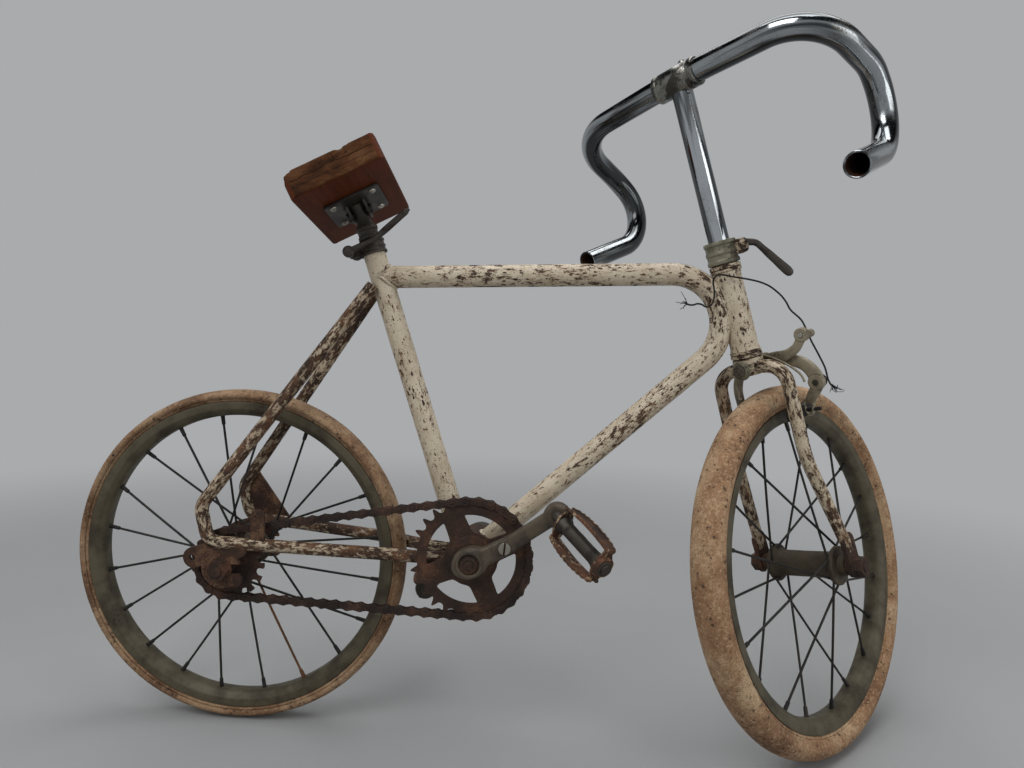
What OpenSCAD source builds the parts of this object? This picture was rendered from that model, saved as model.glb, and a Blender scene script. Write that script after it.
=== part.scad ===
// A small child's bicycle, old and rusted, with a board for a saddle.
// Ground frame used while building: +X forward, +Y to the bicycle's left, +Z up,
// the rear axle over X = 0 and the floor at Z = 0. stand_off() then puts the
// origin on the saddle's top, where the rider holds the bicycle upright.

/* [Wheels] */
// Height of the rear axle, the rear tyre's outer radius
rear_tyre_r = 170; // [164:1:180]
// Outer radius of the front tyre
front_tyre_r = 182; // [176:1:192]
// Outer radius of both rims
rim_r = 158; // [150:1:162]
// Width of both rims
rim_w = 23; // [20:1:26]
// Radius at which the spokes enter the rim
rim_bed_r = 143.5; // [138:0.5:147]
// Thickness of the rim's steel
rim_wall = 2; // [1.2:0.2:3]
// Width of the rear tyre
rear_tyre_w = 29; // [26:1:34]
// Width of the front tyre
front_tyre_w = 34; // [28:1:38]
// Number of spokes in a wheel
spoke_count = 20; // [12:4:36]
// Diameter of a spoke
spoke_d = 2.6; // [1.8:0.2:3.2]
// Diameter of the wheel axles
axle_d = 9.5; // [8:0.5:12]
// Diameter of the hub barrels
hub_d = 26; // [20:1:32]
// Diameter of the hub flanges
flange_d = 38; // [34:1:48]
// Half the distance between the rear hub's flanges
rear_flange_y = 24; // [20:1:28]
// Half the distance between the front hub's flanges
front_flange_y = 31; // [24:1:34]

/* [Steering] */
// Angle of the head tube from the floor
head_angle = 74; // [68:1:80]
// Forward place of the steering axis at the head tube's middle
head_x = 490.5; // [470:1:520]
// Height of the head tube's middle
head_z = 430; // [420:1:450]
// How far the front wheel is turned to the left at rest
steer_rest = 45; // [0:1:60]
// Distance from the head tube's middle down to the front axle
fork_drop = 265; // [258:1:280]
// Offset of the front axle in front of the steering axis
fork_rake = 18; // [8:1:40]
// Outside diameter of the head tube
head_tube_d = 27; // [26:0.5:34]
// Length of the head tube
head_tube_l = 78; // [60:1:100]
// Outside diameter of the fork's steerer
steerer_d = 22; // [20:0.5:23]
// Diameter of a fork blade
blade_d = 13; // [11:0.5:15]
// Half the distance between the fork blades
blade_y = 36; // [34:1:42]

/* [Handlebar] */
// Distance from the head tube's middle up to the handlebar
bar_rise = 228; // [180:2:260]
// Diameter of the handlebar tube
bar_d = 22.2; // [20:0.1:25.4]
// Wall of the handlebar tube
bar_wall = 1.6; // [1:0.1:2.5]
// Half the width between the bar's first bends
bar_half_w = 138; // [110:2:190]
// How far the bar reaches forward
bar_reach = 124; // [100:1:140]
// How far the bar drops to its ends
bar_drop = 137.5; // [120:0.5:160]
// How far the bar is tipped nose down in its clamp
bar_tip = 7; // [0:1:20]
// Diameter of the stem
stem_d = 20.4; // [18:0.2:21.1]

/* [Frame] */
// Diameter of the frame's main tube
main_tube_d = 22; // [19:0.5:26]
// Radius of the main tube's bend behind the head tube
main_bend_r = 48; // [40:1:50]
// Diameter of the seat tube
seat_tube_d = 22.2; // [20:0.2:26]
// Height of the seat tube's open top
seat_tube_top = 478; // [465:1:490]
// Diameter of the bent stays
stay_d = 12.4; // [10:0.2:13]
// Half the distance between the rear dropouts
dropout_y = 50; // [48:1:54]
// Thickness of the dropout plates
dropout_t = 4; // [3:0.5:5]
// Diameter of the bottom bracket's shell
shell_d = 38; // [34:1:42]
// Length of the bottom bracket's shell
shell_l = 54; // [50:1:56]

/* [Drive] */
// Distance from one chain pin to the next
chain_pitch = 12.7; // [12.7:0.1:12.7]
// Number of links in the chain
chain_links = 60; // [58:2:62]
// Teeth on the chainring
ring_teeth = 28; // [24:4:32]
// Teeth on the sprocket
sprocket_teeth = 16; // [14:1:18]
// Distance from the bicycle's middle to the chain
chain_line = 34; // [33:0.5:36]
// Height of the crank axle
crank_z = 184; // [176:1:190]
// Length of a crank
crank_l = 97; // [85:1:110]
// Angle of the right crank above the front
crank_angle = 33; // [30:1:36]
// Diameter of the crank axle
crank_axle_d = 16; // [14:0.5:18]
// Thickness of the chainring and the sprocket
ring_t = 2.6; // [2:0.2:3]

/* [Pedals] */
// Length of a pedal's cage along its pin
pedal_l = 62; // [50:1:80]
// Width of a pedal's cage
pedal_w = 42; // [36:1:60]
// Diameter of the pedal pins
pedal_pin_d = 10; // [8:0.5:12]
// How far the right pedal's pin is bent forward
pin_bend_forward = 32; // [0:1:40]
// How far the right pedal's pin is bent down
pin_bend_down = 22; // [0:1:30]

/* [Saddle] */
// Length of the saddle board from back to front
board_l = 93; // [80:1:120]
// Width of the saddle board
board_w = 150; // [120:1:190]
// Thickness of the saddle board
board_t = 25; // [16:1:28]
// How far the saddle board points nose up
board_pitch = 27; // [0:1:35]
// How far the saddle board leans down to the left
board_roll = 9; // [0:1:15]
// How far the saddle board is turned to the right
board_yaw = 6; // [0:1:12]

/* [Fits] */
// Clearance round a shaft that turns
shaft_play = 0.05; // [0.02:0.01:0.1]
// Clearance between pieces that lie together
seat_play = 0.2; // [0.1:0.05:0.4]

/* [Hidden] */
$fn = 64;

cream = "#d8cfb4";
rust = "#5a3a2a";
dark_rust = "#3a2a24";
chrome = "#c8ccd0";
tarnish = "#6a6c60";
tan_rubber = "#b89874";
wood = "#6b3e2a";
black_wire = "#1c1c1c";

function unit(v) = v / norm(v);
function lerp(a, b, t) = a + (b - a) * t;

// Chain geometry: the crank axle stands where the chain's whole number of links closes
ring_pr = chain_pitch / 2 / sin(180 / ring_teeth);
sprocket_pr = chain_pitch / 2 / sin(180 / sprocket_teeth);
axle_z = rear_tyre_r;
function run_angle(c) = asin((ring_pr - sprocket_pr) / c);
function run_length(c) = sqrt(c * c - pow(ring_pr - sprocket_pr, 2));
function links_at(c) = 2 * run_length(c) / chain_pitch
    + sprocket_teeth * (180 - 2 * run_angle(c)) / 360
    + ring_teeth * (180 + 2 * run_angle(c)) / 360;
function close_chain(c, n) = n == 0 ? c
    : close_chain(c + (chain_links - links_at(c)) * chain_pitch / 2, n - 1);
crank_gap = close_chain(240, 8);
crank_x = sqrt(crank_gap * crank_gap - pow(crank_z - axle_z, 2));
chain_tilt = atan2(crank_z - axle_z, crank_x);

// Seat tube: leans back from the shell
seat_lean = 72;
function seat_x(z) = crank_x - 11 - (z - crank_z) / tan(seat_lean);

// Saddle: the board's underside centre, and the mount on its top
board_under = [114, 0, 527];

// Main tube: its top run and its down run meet in one bend
top_run_rise = 1.7;
down_run_slope = 42;
top_run_z = 456;
top_run_start = seat_x(top_run_z);
bend_corner_x = head_x + 67.5;

// Stays: side view corners of the bent rod
stay_top = [seat_x(445) - 9, 11.5, 447];
stay_heel = [-21, dropout_y - 1, 230];
stay_toe = [-13, dropout_y, 195.5];
stay_waist = [140, 30.5, 185];
stay_neck = [188, 20.5, 180];
stay_end = [crank_x - 8, 15, crank_z - 7];

// Steering frame: origin at the head tube's middle, X forward, Y left, Z up the axis
hub_half = 45;
// How far the bar's centre lies behind the steering axis
bar_back = 3;
front_end_y = hub_half + 2;
pin_forward = sin(pin_bend_forward);
pin_down = sin(pin_bend_down);
pin_out = sqrt(1 - pin_forward * pin_forward - pin_down * pin_down);

// How far a straight run laps into a bend, and how much thinner it is on the radius
bend_lap = 0.3;
bend_step = 0.02;

// The brake wire's loose end and its bow beside the head tube, in the ground frame;
// stop_points below carries it on to the brake
loop_points = [
    [438, -15, 436.5], [442, -15.2, 434.6], [446, -15.6, 434.4], [450, -16, 435.6], [454, -16.4, 435],
    [457.6, -16.4, 433], [461.2, -16, 433.2], [464, -15.6, 436], [465.4, -15.2, 440],
    [465.8, -15, 445], [465.4, -15, 450], [464.4, -15.2, 455], [464.4, -15.8, 459.4],
    [466.8, -16.4, 462.6], [471, -17, 463.6], [478, -17.6, 462.4], [486, -18, 461.2],
    [494, -18.5, 460], [502, -19, 458.5], [509, -19.5, 456.5], [516, -19.5, 453.5],
    [522, -19, 449.5], [528, -18.4, 444.5], [533, -17.8, 438.5], [537.5, -17.2, 431.5]
];
wire_d = 1.8;
wire_sides = 8;

// ---------- helpers ----------

// Moves the ground frame so that the origin is on the saddle's top
module stand_off() {
    translate(-saddle_top()) children();
}

// Middle of the saddle board's top, in the ground frame
function board_normal() =
    let (p = board_pitch, r = -board_roll, y = board_yaw,
         n = [-sin(p) * cos(r), -sin(r), cos(p) * cos(r)])
    [n.x * cos(y) - n.y * sin(y), n.x * sin(y) + n.y * cos(y), n.z];
function saddle_top() = board_under + board_normal() * board_t;

// Places children drawn in the steering frame
module steered() {
    translate([head_x, 0, head_z])
        rotate([0, head_angle - 90, 0])
            rotate([0, 0, steer_rest])
                children();
}

// Puts local Z along the line from a to b, with the origin at a
module along(a, b) {
    d = b - a;
    translate(a)
        rotate([0, acos(d.z / norm(d)), atan2(d.y, d.x)])
            children();
}

module rod(a, b, d) {
    along(a, b) cylinder(d = d, h = norm(b - a));
}

// Round bar through the points, with a true arc of radii[i] at each inner point;
// inner leaves it hollow. The straight runs are a hair thinner than the bends and
// reach a little way into them, so that they join as one solid
module bent_bar(points, radii, d, inner = 0, lap = bend_lap, step = bend_step) {
    last = len(points) - 1;
    cut = [for (i = [0:last]) (i == 0 || i == last) ? 0
        : let (u = unit(points[i - 1] - points[i]), v = unit(points[i + 1] - points[i]))
          radii[i - 1] / tan(acos(u * v) / 2)];
    for (i = [0:last - 1]) {
        dir = unit(points[i + 1] - points[i]);
        a = points[i] + dir * (i == 0 ? 0 : cut[i] - lap);
        b = points[i + 1] - dir * (i == last - 1 ? 0 : cut[i + 1] - lap);
        along(a, b) ring_bar(d - 2 * step, inner > 0 ? inner + 2 * step : 0, norm(b - a));
    }
    for (i = [1:last - 1]) {
        u = unit(points[i - 1] - points[i]);
        v = unit(points[i + 1] - points[i]);
        half = acos(u * v) / 2;
        centre = points[i] + unit(u + v) * radii[i - 1] / sin(half);
        z = unit(cross(v, u));
        x = unit(points[i] + u * cut[i] - centre);
        y = cross(z, x);
        multmatrix([
            [x.x, y.x, z.x, centre.x],
            [x.y, y.y, z.y, centre.y],
            [x.z, y.z, z.z, centre.z],
            [0, 0, 0, 1]])
            rotate_extrude(angle = 180 - 2 * half)
                translate([radii[i - 1], 0]) ring_face(d, inner);
    }
}

// Space cut out of a plate where such a bar is let into it
module bar_seat(points, radii, d) {
    bent_bar(points, radii, d + 0.4, 0, 0.9, 0.1);
}

module ring_face(d, inner) {
    difference() {
        circle(d = d);
        if (inner > 0) circle(d = inner);
    }
}

module ring_bar(d, inner, h) {
    linear_extrude(h) ring_face(d, inner);
}

// Flat piece drawn in the X-Z plane, t thick, its middle plane at y
module upright_plate(y, t) {
    translate([0, y + t / 2, 0]) rotate([90, 0, 0]) linear_extrude(t) children();
}

// Bar with round ends between two flat points; its sides lie a hair inside the ends
module strap(a, b, w) {
    d = b - a;
    side = w / 2 - 0.1;
    translate(a) rotate(atan2(d.y, d.x)) translate([0, -side]) square([norm(d), 2 * side]);
    translate(a) circle(d = w);
    translate(b) circle(d = w);
}

module hex_nut(af, h, bore) {
    difference() {
        cylinder(d = af / cos(30), h = h, $fn = 6);
        translate([0, 0, -1]) cylinder(d = bore, h = h + 2);
    }
}

// Tube swept along a route, as one closed mesh
module wire(route, d) {
    n = len(route);
    rings = [for (i = [0:n - 1])
        let (t = unit(route[min(i + 1, n - 1)] - route[max(i - 1, 0)]),
             side = unit(cross(t, [0.31, 0.9, 0.3])), up = cross(side, t))
        for (k = [0:wire_sides - 1])
            route[i] + (side * cos(k * 360 / wire_sides) + up * sin(k * 360 / wire_sides)) * d / 2];
    walls = [for (i = [0:n - 2]) for (k = [0:wire_sides - 1])
        let (a = i * wire_sides + k, b = i * wire_sides + (k + 1) % wire_sides)
        [a, b, b + wire_sides, a + wire_sides]];
    start = [for (k = [wire_sides - 1:-1:0]) k];
    end = [for (k = [0:wire_sides - 1]) (n - 1) * wire_sides + k];
    polyhedron(points = rings, faces = concat([start], walls, [end]), convexity = 6);
}

// ---------- wheels ----------

module turned_about_y() {
    rotate([90, 0, 0]) rotate_extrude() children();
}

// Rolled steel channel, open to the outside
module rim() {
    half = rim_w / 2;
    bed = half - 5;
    turned_about_y() polygon([
        [rim_r, -half], [rim_r - 8, -half], [rim_bed_r, -bed], [rim_bed_r, bed],
        [rim_r - 8, half], [rim_r, half], [rim_r, half - rim_wall],
        [rim_r - 8 + rim_wall / 2, half - rim_wall], [rim_bed_r + rim_wall * 1.6, bed - 0.5],
        [rim_bed_r + rim_wall * 1.6, 0.5 - bed], [rim_r - 8 + rim_wall / 2, rim_wall - half],
        [rim_r, rim_wall - half]]);
}

// Tyre section: a crown with rounded shoulders over a foot that fills the rim
module tyre(outer_r, width) {
    height = outer_r - rim_r - seat_play;
    shoulder = min(width / 2 - 2, height * 0.58 + 0.5);
    foot = rim_w / 2 - rim_wall - seat_play;
    floor_r = rim_bed_r + rim_wall * 1.6 + seat_play;
    turned_about_y() {
        intersection() {
            union() {
                for (side = [-1, 1])
                    translate([outer_r - shoulder, side * (width / 2 - shoulder)]) circle(shoulder);
                translate([outer_r - 2 * shoulder, shoulder - width / 2])
                    square([2 * shoulder, width - 2 * shoulder]);
            }
            translate([rim_r + seat_play, -width]) square([height + 1, 2 * width]);
        }
        translate([floor_r, -foot + 3.6]) square([rim_r - floor_r + 1, 2 * foot - 7.2]);
        translate([rim_r - 6, -foot]) square([7, 2 * foot]);
    }
}

// Spokes cross between the flanges and the rim, each one a straight wire
module spokes(flange_y) {
    hole_r = flange_d / 2 - 3.4;
    for (i = [0:spoke_count - 1]) {
        side = i % 2 == 0 ? -1 : 1;
        lead = floor(i / 2) % 2 == 0 ? 1 : -1;
        at = (i + 0.5) * 360 / spoke_count;
        from = at + lead * 62;
        a = [hole_r * cos(from), side * (flange_y - lead * 1.6), hole_r * sin(from)];
        b = [(rim_bed_r - 0.05) * cos(at), side * 1.2, (rim_bed_r - 0.05) * sin(at)];
        rod(a, b, spoke_d);
    }
}

// Barrel with two flanges, bored to run on its axle
module hub(flange_y, right_end, left_end) {
    rotate([-90, 0, 0]) difference() {
        union() {
            cylinder(d = hub_d, h = 2 * flange_y, center = true);
            for (side = [-1, 1])
                translate([0, 0, side * flange_y]) cylinder(d = flange_d, h = 6.4, center = true);
            translate([0, 0, -right_end]) cylinder(d = 19, h = right_end + left_end);
        }
        cylinder(d = axle_d + 2 * shaft_play, h = 200, center = true);
    }
}

// Hub with the spokes' seats cut into its flanges
module laced_hub(flange_y, right_end, left_end) {
    difference() {
        hub(flange_y, right_end, left_end);
        spokes(flange_y);
    }
}

module at_rear_axle() {
    translate([0, 0, axle_z]) children();
}

module at_front_axle() {
    steered() translate([fork_rake, 0, -fork_drop]) children();
}

// The sprocket takes up the rear axle beside the hub's right end
rear_hub_right = chain_line - 4.5;
rear_hub_left = dropout_y - dropout_t / 2 - 4.5;
sprocket_boss_l = 7;

module rear_tyre() { color(tan_rubber) stand_off() at_rear_axle() tyre(rear_tyre_r, rear_tyre_w); }
module front_tyre() { color(tan_rubber) stand_off() at_front_axle() tyre(front_tyre_r, front_tyre_w); }
module rear_rim() { color(tarnish) stand_off() at_rear_axle() rim(); }
module front_rim() { color(tarnish) stand_off() at_front_axle() rim(); }
module rear_spokes() { color(black_wire) stand_off() at_rear_axle() spokes(rear_flange_y); }
module front_spokes() { color(black_wire) stand_off() at_front_axle() spokes(front_flange_y); }
module rear_hub() { color(dark_rust) stand_off() at_rear_axle() laced_hub(rear_flange_y, rear_hub_right, rear_hub_left); }
module front_hub() { color(dark_rust) stand_off() at_front_axle() laced_hub(front_flange_y, hub_half - 4, hub_half - 4); }

module axle_bar(half_l) {
    rotate([90, 0, 0]) cylinder(d = axle_d, h = 2 * half_l, center = true);
}

module rear_axle() { color(dark_rust) stand_off() at_rear_axle() axle_bar(dropout_y + 13); }
module front_axle() { color(dark_rust) stand_off() at_front_axle() axle_bar(front_end_y + 12); }

// A washer and a nut outside each end plate, and a locking nut inside it;
// inner gives that nut's length on the right and on the left
module end_nuts(plate_y, t, inner) {
    for (side = [0, 1]) mirror([0, 1 - side, 0]) translate([0, plate_y, 0]) rotate([-90, 0, 0]) {
        translate([0, 0, t / 2]) washer(22, 1.6, axle_d);
        translate([0, 0, t / 2 + 1.6]) hex_nut(17, 7.4, axle_d);
        translate([0, 0, -t / 2 - inner[side]]) washer(17, inner[side], axle_d);
    }
}

module washer(d, h, bore) {
    difference() {
        cylinder(d = d, h = h);
        translate([0, 0, -1]) cylinder(d = bore, h = h + 2);
    }
}

rear_locks = [dropout_y - dropout_t / 2 - chain_line - sprocket_boss_l / 2 - 1, 4];

module rear_axle_nuts() { color(rust) stand_off() at_rear_axle() end_nuts(dropout_y, dropout_t, rear_locks); }
module front_axle_nuts() { color(rust) stand_off() at_front_axle() end_nuts(front_end_y, 4, [3.5, 3.5]); }

// ---------- frame ----------

module seat_tube_bar(d) {
    rod([seat_x(crank_z), 0, crank_z], [seat_x(seat_tube_top), 0, seat_tube_top], d);
}

module shell_bar(d, l) {
    translate([crank_x, 0, crank_z]) rotate([90, 0, 0]) cylinder(d = d, h = l, center = true);
}

module head_tube_bar(d, l) {
    steered() cylinder(d = d, h = l, center = true);
}

function main_corner() = [bend_corner_x, 0, top_run_z + (bend_corner_x - top_run_start) * tan(top_run_rise)];
function main_foot() = let (l = (bend_corner_x - crank_x - 4) / cos(down_run_slope))
    main_corner() - [l * cos(down_run_slope), 0, l * sin(down_run_slope)];

module main_bar(d) {
    bent_bar([[top_run_start, 0, top_run_z], main_corner(), main_foot()], [main_bend_r], d);
}

module head_tube() {
    color(cream) stand_off() difference() {
        head_tube_bar(head_tube_d, head_tube_l);
        head_tube_bar(steerer_d + 2.4, head_tube_l + 2);
    }
}

module main_tube() {
    color(cream) stand_off() difference() {
        main_bar(main_tube_d);
        seat_tube_bar(seat_tube_d);
        shell_bar(shell_d, shell_l + 20);
        head_tube_bar(head_tube_d, head_tube_l + 20);
    }
}

module seat_tube() {
    color(cream) stand_off() difference() {
        seat_tube_bar(seat_tube_d);
        shell_bar(shell_d, shell_l + 20);
        rod([seat_x(400), 0, 400], [seat_x(seat_tube_top + 20), 0, seat_tube_top + 20], seat_post_d);
        translate([seat_x(434), 0, 434]) rotate([90, 0, 0]) cylinder(d = 4, h = 40, center = true);
    }
}

module bottom_bracket_shell() {
    color(rust) stand_off() difference() {
        shell_bar(shell_d, shell_l);
        shell_bar(shell_d - 8, shell_l + 2);
    }
}

module bottom_bracket_cups() {
    color(dark_rust) stand_off() translate([crank_x, 0, crank_z])
        for (side = [-1, 1]) translate([0, side * (shell_l / 2 - 5), 0]) rotate([90, 0, 0])
            difference() {
                cylinder(d = shell_d - 8, h = 12, center = true);
                cylinder(d = crank_axle_d + 2 * shaft_play, h = 20, center = true);
            }
}

module stay(side) {
    m = [1, side, 1];
    points = [for (p = [stay_top, stay_heel, stay_toe, stay_waist, stay_neck, stay_end])
        [p.x, p.y * side, p.z]];
    difference() {
        bent_bar(points, [18, 14, 90, 90], stay_d);
        seat_tube_bar(seat_tube_d);
        shell_bar(shell_d, shell_l + 20);
    }
}

module rear_stay_right() { color(cream) stand_off() stay(-1); }
module rear_stay_left() { color(cream) stand_off() stay(1); }

// Plate under the stay's loop with a slot that opens forward
module dropout_face() {
    difference() {
        union() {
            translate([0, axle_z]) circle(d = 38);
            strap([-27, axle_z + 10], [-8, axle_z + 16], 20);
            strap([8, axle_z + 13], [18, axle_z + 18], 13);
            strap([-4, axle_z - 12], [14, axle_z - 11], 13);
        }
        translate([0, axle_z]) circle(d = axle_d + 0.8);
        translate([0, axle_z - axle_d / 2 - 0.1]) square([40, axle_d + 0.2]);
        translate([-28, axle_z + 10]) circle(d = 6);
    }
}

module dropout(side) {
    difference() {
        upright_plate(side * dropout_y, dropout_t) dropout_face();
        stay_cut(side);
    }
}

// Upright tab with a hole, standing on the right chainstay
module dropout_right() {
    color(rust) stand_off() {
        dropout(-1);
        difference() {
            upright_plate(-dropout_y + 4, 3) difference() {
                union() {
                    translate([27.5, 192]) square([13, 29]);
                    translate([34, 221]) circle(d = 13);
                }
                translate([34, 221]) circle(d = 4.5);
            }
            stay_cut(-1);
        }
    }
}

// The left side has a gusset between the stays in place of the tab
module dropout_left() {
    color(rust) stand_off() {
        dropout(1);
        difference() {
            upright_plate(dropout_y, 3)
                polygon([[-12, 190], [-14, 232], [-4, 246], [34, 192]]);
            stay_cut(1);
        }
    }
}

module stay_cut(side) {
    bar_seat([for (p = [stay_top, stay_heel, stay_toe, stay_waist]) [p.x, p.y * side, p.z]],
        [18, 14], stay_d);
}

cup_h = 8;

module headset_cups() {
    color(tarnish) stand_off() steered() for (end = [-1, 1])
        scale([1, 1, end]) difference() {
            union() {
                translate([0, 0, head_tube_l / 2]) cylinder(d = head_tube_d + 3, h = cup_h);
                translate([0, 0, head_tube_l / 2 - 8]) cylinder(d = steerer_d + 2.4, h = 8.5);
            }
            translate([0, 0, head_tube_l / 2 - 12])
                cylinder(d = steerer_d + 2 * shaft_play, h = 40);
        }
}

// ---------- saddle ----------

seat_post_d = 17;
post_top = seat_tube_top + 24;

module seat_post() {
    color(dark_rust) stand_off()
        rod([seat_x(401), 0, 401], [seat_x(post_top), 0, post_top], seat_post_d);
}

// Split collar round the seat tube's mouth, with its ears and cross bolt at the back
module seat_clamp() {
    color(dark_rust) stand_off()
        along([seat_x(seat_tube_top), 0, seat_tube_top], [seat_x(post_top), 0, post_top])
        rotate([0, 0, 180]) {
            difference() {
                union() {
                    cylinder(d = seat_tube_d + 5, h = 14);
                    for (y = [-7, 4]) translate([-24, y, 1]) cube([14, 3, 12]);
                }
                translate([0, 0, -1]) cylinder(d = seat_post_d, h = 40);
            }
            translate([-20, 15, 7]) rotate([90, 0, 0]) cylinder(d = 6, h = 30);
            translate([-20, 15, 7]) rotate([90, 0, 0]) cylinder(d = 11, h = 7);
        }
}

// Flat lever on the clamp's cross bolt, pointing forward and up
module seat_clamp_lever() {
    color(dark_rust) stand_off()
        along([seat_x(seat_tube_top), 0, seat_tube_top], [seat_x(post_top), 0, post_top])
        rotate([0, 0, 180]) {
            difference() {
                translate([-20, -15.3, 7]) rotate([90, 0, 0]) cylinder(d = 12, h = 6);
                translate([-20, -10, 7]) rotate([90, 0, 0]) cylinder(d = 3, h = 10);
            }
            bent_bar([[-14, -18.3, 8], [8, -18.3, 11], [49, -18.3, 29]], [16], 5.4);
        }
}

module on_board() {
    translate(board_under) rotate([0, 0, board_yaw]) rotate([0, -board_pitch, 0])
        rotate([-board_roll, 0, 0]) children();
}

// Plate under the board, its neck down to the post, and the rolled clamp round the post
module saddle_bracket() {
    color(dark_rust) stand_off() difference() {
        union() {
            on_board() difference() {
                translate([-28, -30, -3]) cube([57, 60, 3]);
                for (x = [-20, 21]) for (y = [-22, 22])
                    translate([x, y, -5]) cylinder(d = 6, h = 10);
            }
            rod([seat_x(post_top) , 0, post_top], board_under + [1, 0, -2], 15);
            along([seat_x(seat_tube_top + 14.5), 0, seat_tube_top + 14.5], [seat_x(post_top), 0, post_top])
                cylinder(d = 22, h = 14);
        }
        rod([seat_x(400), 0, 400], [seat_x(post_top), 0, post_top], seat_post_d);
        on_board() translate([-60, -80, 0]) cube([120, 160, 40]);
    }
}

module saddle_board() {
    color(wood) stand_off() on_board()
        linear_extrude(board_t) {
            translate([-board_l / 2 + 8, -board_w / 2 + 8])
                square([board_l - 16, board_w - 16]);
            for (x = [-1, 1]) for (y = [-1, 1])
                translate([x * (board_l / 2 - 8), y * (board_w / 2 - 8)]) circle(8);
            translate([-board_l / 2, -board_w / 2 + 8]) square([board_l, board_w - 16]);
            translate([-board_l / 2 + 8, -board_w / 2]) square([board_l - 16, board_w]);
        }
}

// ---------- chain and drive ----------

// Pin number k round the loop as [x, z, heading], k from 0 at the start of the upper run
function run_links() = run_length(crank_gap) / chain_pitch;
function ring_links() = ring_teeth * (180 + 2 * run_angle(crank_gap)) / 360;
function sprocket_links() = sprocket_teeth * (180 - 2 * run_angle(crank_gap)) / 360;
function chain_pin(k) =
    let (a = run_angle(crank_gap), run = run_links(), ring = ring_links())
    k < run ? run_pin(k * chain_pitch, a)
    : k < run + ring ? arc_pin([crank_gap, 0], ring_pr, 90 + a - (k - run) * 360 / ring_teeth)
    : k < 2 * run + ring ? back_pin((k - run - ring) * chain_pitch, a)
    : arc_pin([0, 0], sprocket_pr, -90 - a - (k - 2 * run - ring) * 360 / sprocket_teeth);
function run_pin(s, a) =
    [sprocket_pr * cos(90 + a) + s * cos(a), sprocket_pr * sin(90 + a) + s * sin(a)];
function back_pin(s, a) =
    [crank_gap + ring_pr * cos(-90 - a) - s * cos(a), ring_pr * sin(-90 - a) + s * sin(a)];
function arc_pin(c, r, t) = c + r * [cos(t), sin(t)];

// Draws children in the chain's plane, X from the rear axle to the crank axle
module chain_plane(y, t) {
    translate([0, 0, axle_z]) rotate([0, -chain_tilt, 0])
        upright_plate(y, t) children();
}

chain_inner = 1.9;
chain_plate_t = 2.1;

// Links from each tangent point at which a roller is clear of turning teeth
function clear_links(pr) = sqrt(pow(pr + 7.8, 2) - pr * pr) / chain_pitch;
ring_clear = clear_links(ring_pr);
sprocket_clear = clear_links(sprocket_pr);

module chain_band() {
    for (k = [0:chain_links - 1]) {
        a = chain_pin(k);
        b = chain_pin((k + 1) % chain_links);
        d = b - a;
        translate(a) circle(d = 8.6, $fn = 24);
        translate(a) rotate(atan2(d.y, d.x)) translate([2, -2.9]) square([chain_pitch - 4, 5.8]);
    }
}

module chain_side_right() {
    color(dark_rust) stand_off()
        chain_plane(-chain_line - chain_inner - chain_plate_t / 2, chain_plate_t) chain_band();
}

module chain_side_left() {
    color(dark_rust) stand_off()
        chain_plane(-chain_line + chain_inner + chain_plate_t / 2, chain_plate_t) chain_band();
}

// Rollers stand between the side plates in the two free runs, clear of the teeth
module chain_rollers() {
    color(dark_rust) stand_off() {
        for (k = [0:chain_links - 1]) {
            upper = k;
            lower = k - run_links() - ring_links();
            in_upper = upper > sprocket_clear && upper < run_links() - ring_clear;
            in_lower = lower > ring_clear && lower < run_links() - sprocket_clear;
            if (in_upper || in_lower)
                chain_plane(-chain_line, 2 * chain_inner) translate(chain_pin(k)) circle(d = 7.7);
        }
    }
}

// Toothed disc: teeth are left between round gullets, with their tips cut back
module toothed_disc(teeth, phase) {
    pr = chain_pitch / 2 / sin(180 / teeth);
    difference() {
        circle(pr + 3.2);
        for (i = [0:teeth - 1]) rotate(phase + i * 360 / teeth) translate([pr, 0]) {
            circle(d = 8.1, $fn = 32);
            translate([0.8, 0]) polygon([[0, -4.05], [6, -5.3], [6, 5.3], [0, 4.05]]);
        }
    }
}

ring_phase = 90 + run_angle(crank_gap) + (run_links() - floor(run_links())) * 360 / ring_teeth;
sprocket_phase = 90 + run_angle(crank_gap);

// Four windows leave four spokes between the toothed rim and the middle
module ring_window() {
    intersection() {
        difference() {
            circle(43);
            circle(26);
        }
        polygon([[18, -7], [43 * cos(29) + 4, -43 * sin(29)], [52, 0], [43 * cos(29) + 4, 43 * sin(29)], [18, 7]]);
    }
}

module chainring() {
    color(rust) stand_off() difference() {
        translate([crank_x, 0, crank_z]) rotate([0, -chain_tilt, 0])
            upright_plate(-chain_line, ring_t) difference() {
                toothed_disc(ring_teeth, ring_phase);
                for (i = [0:3]) rotate(crank_angle - chain_tilt + 36 + i * 90) ring_window();
            }
        crank_core();
        at_crank_screw() cylinder(d = 6, h = 60, center = true);
    }
}

module sprocket() {
    color(rust) stand_off() at_rear_axle() difference() {
        union() {
            rotate([0, -chain_tilt, 0]) upright_plate(-chain_line, ring_t)
                toothed_disc(sprocket_teeth, sprocket_phase);
            translate([0, -chain_line, 0]) rotate([90, 0, 0])
                cylinder(d = 40, h = sprocket_boss_l, center = true);
        }
        rotate([90, 0, 0]) cylinder(d = axle_d + 2 * shaft_play, h = 200, center = true);
    }
}

// ---------- cranks ----------

crank_boss_y = chain_line + 12;
crank_arm_t = 10;
crank_flare = 12;

module crank_core() {
    shell_bar(crank_axle_d, 2 * crank_boss_y + 18);
}

module crank_axle() { color(dark_rust) stand_off() crank_core(); }

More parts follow.
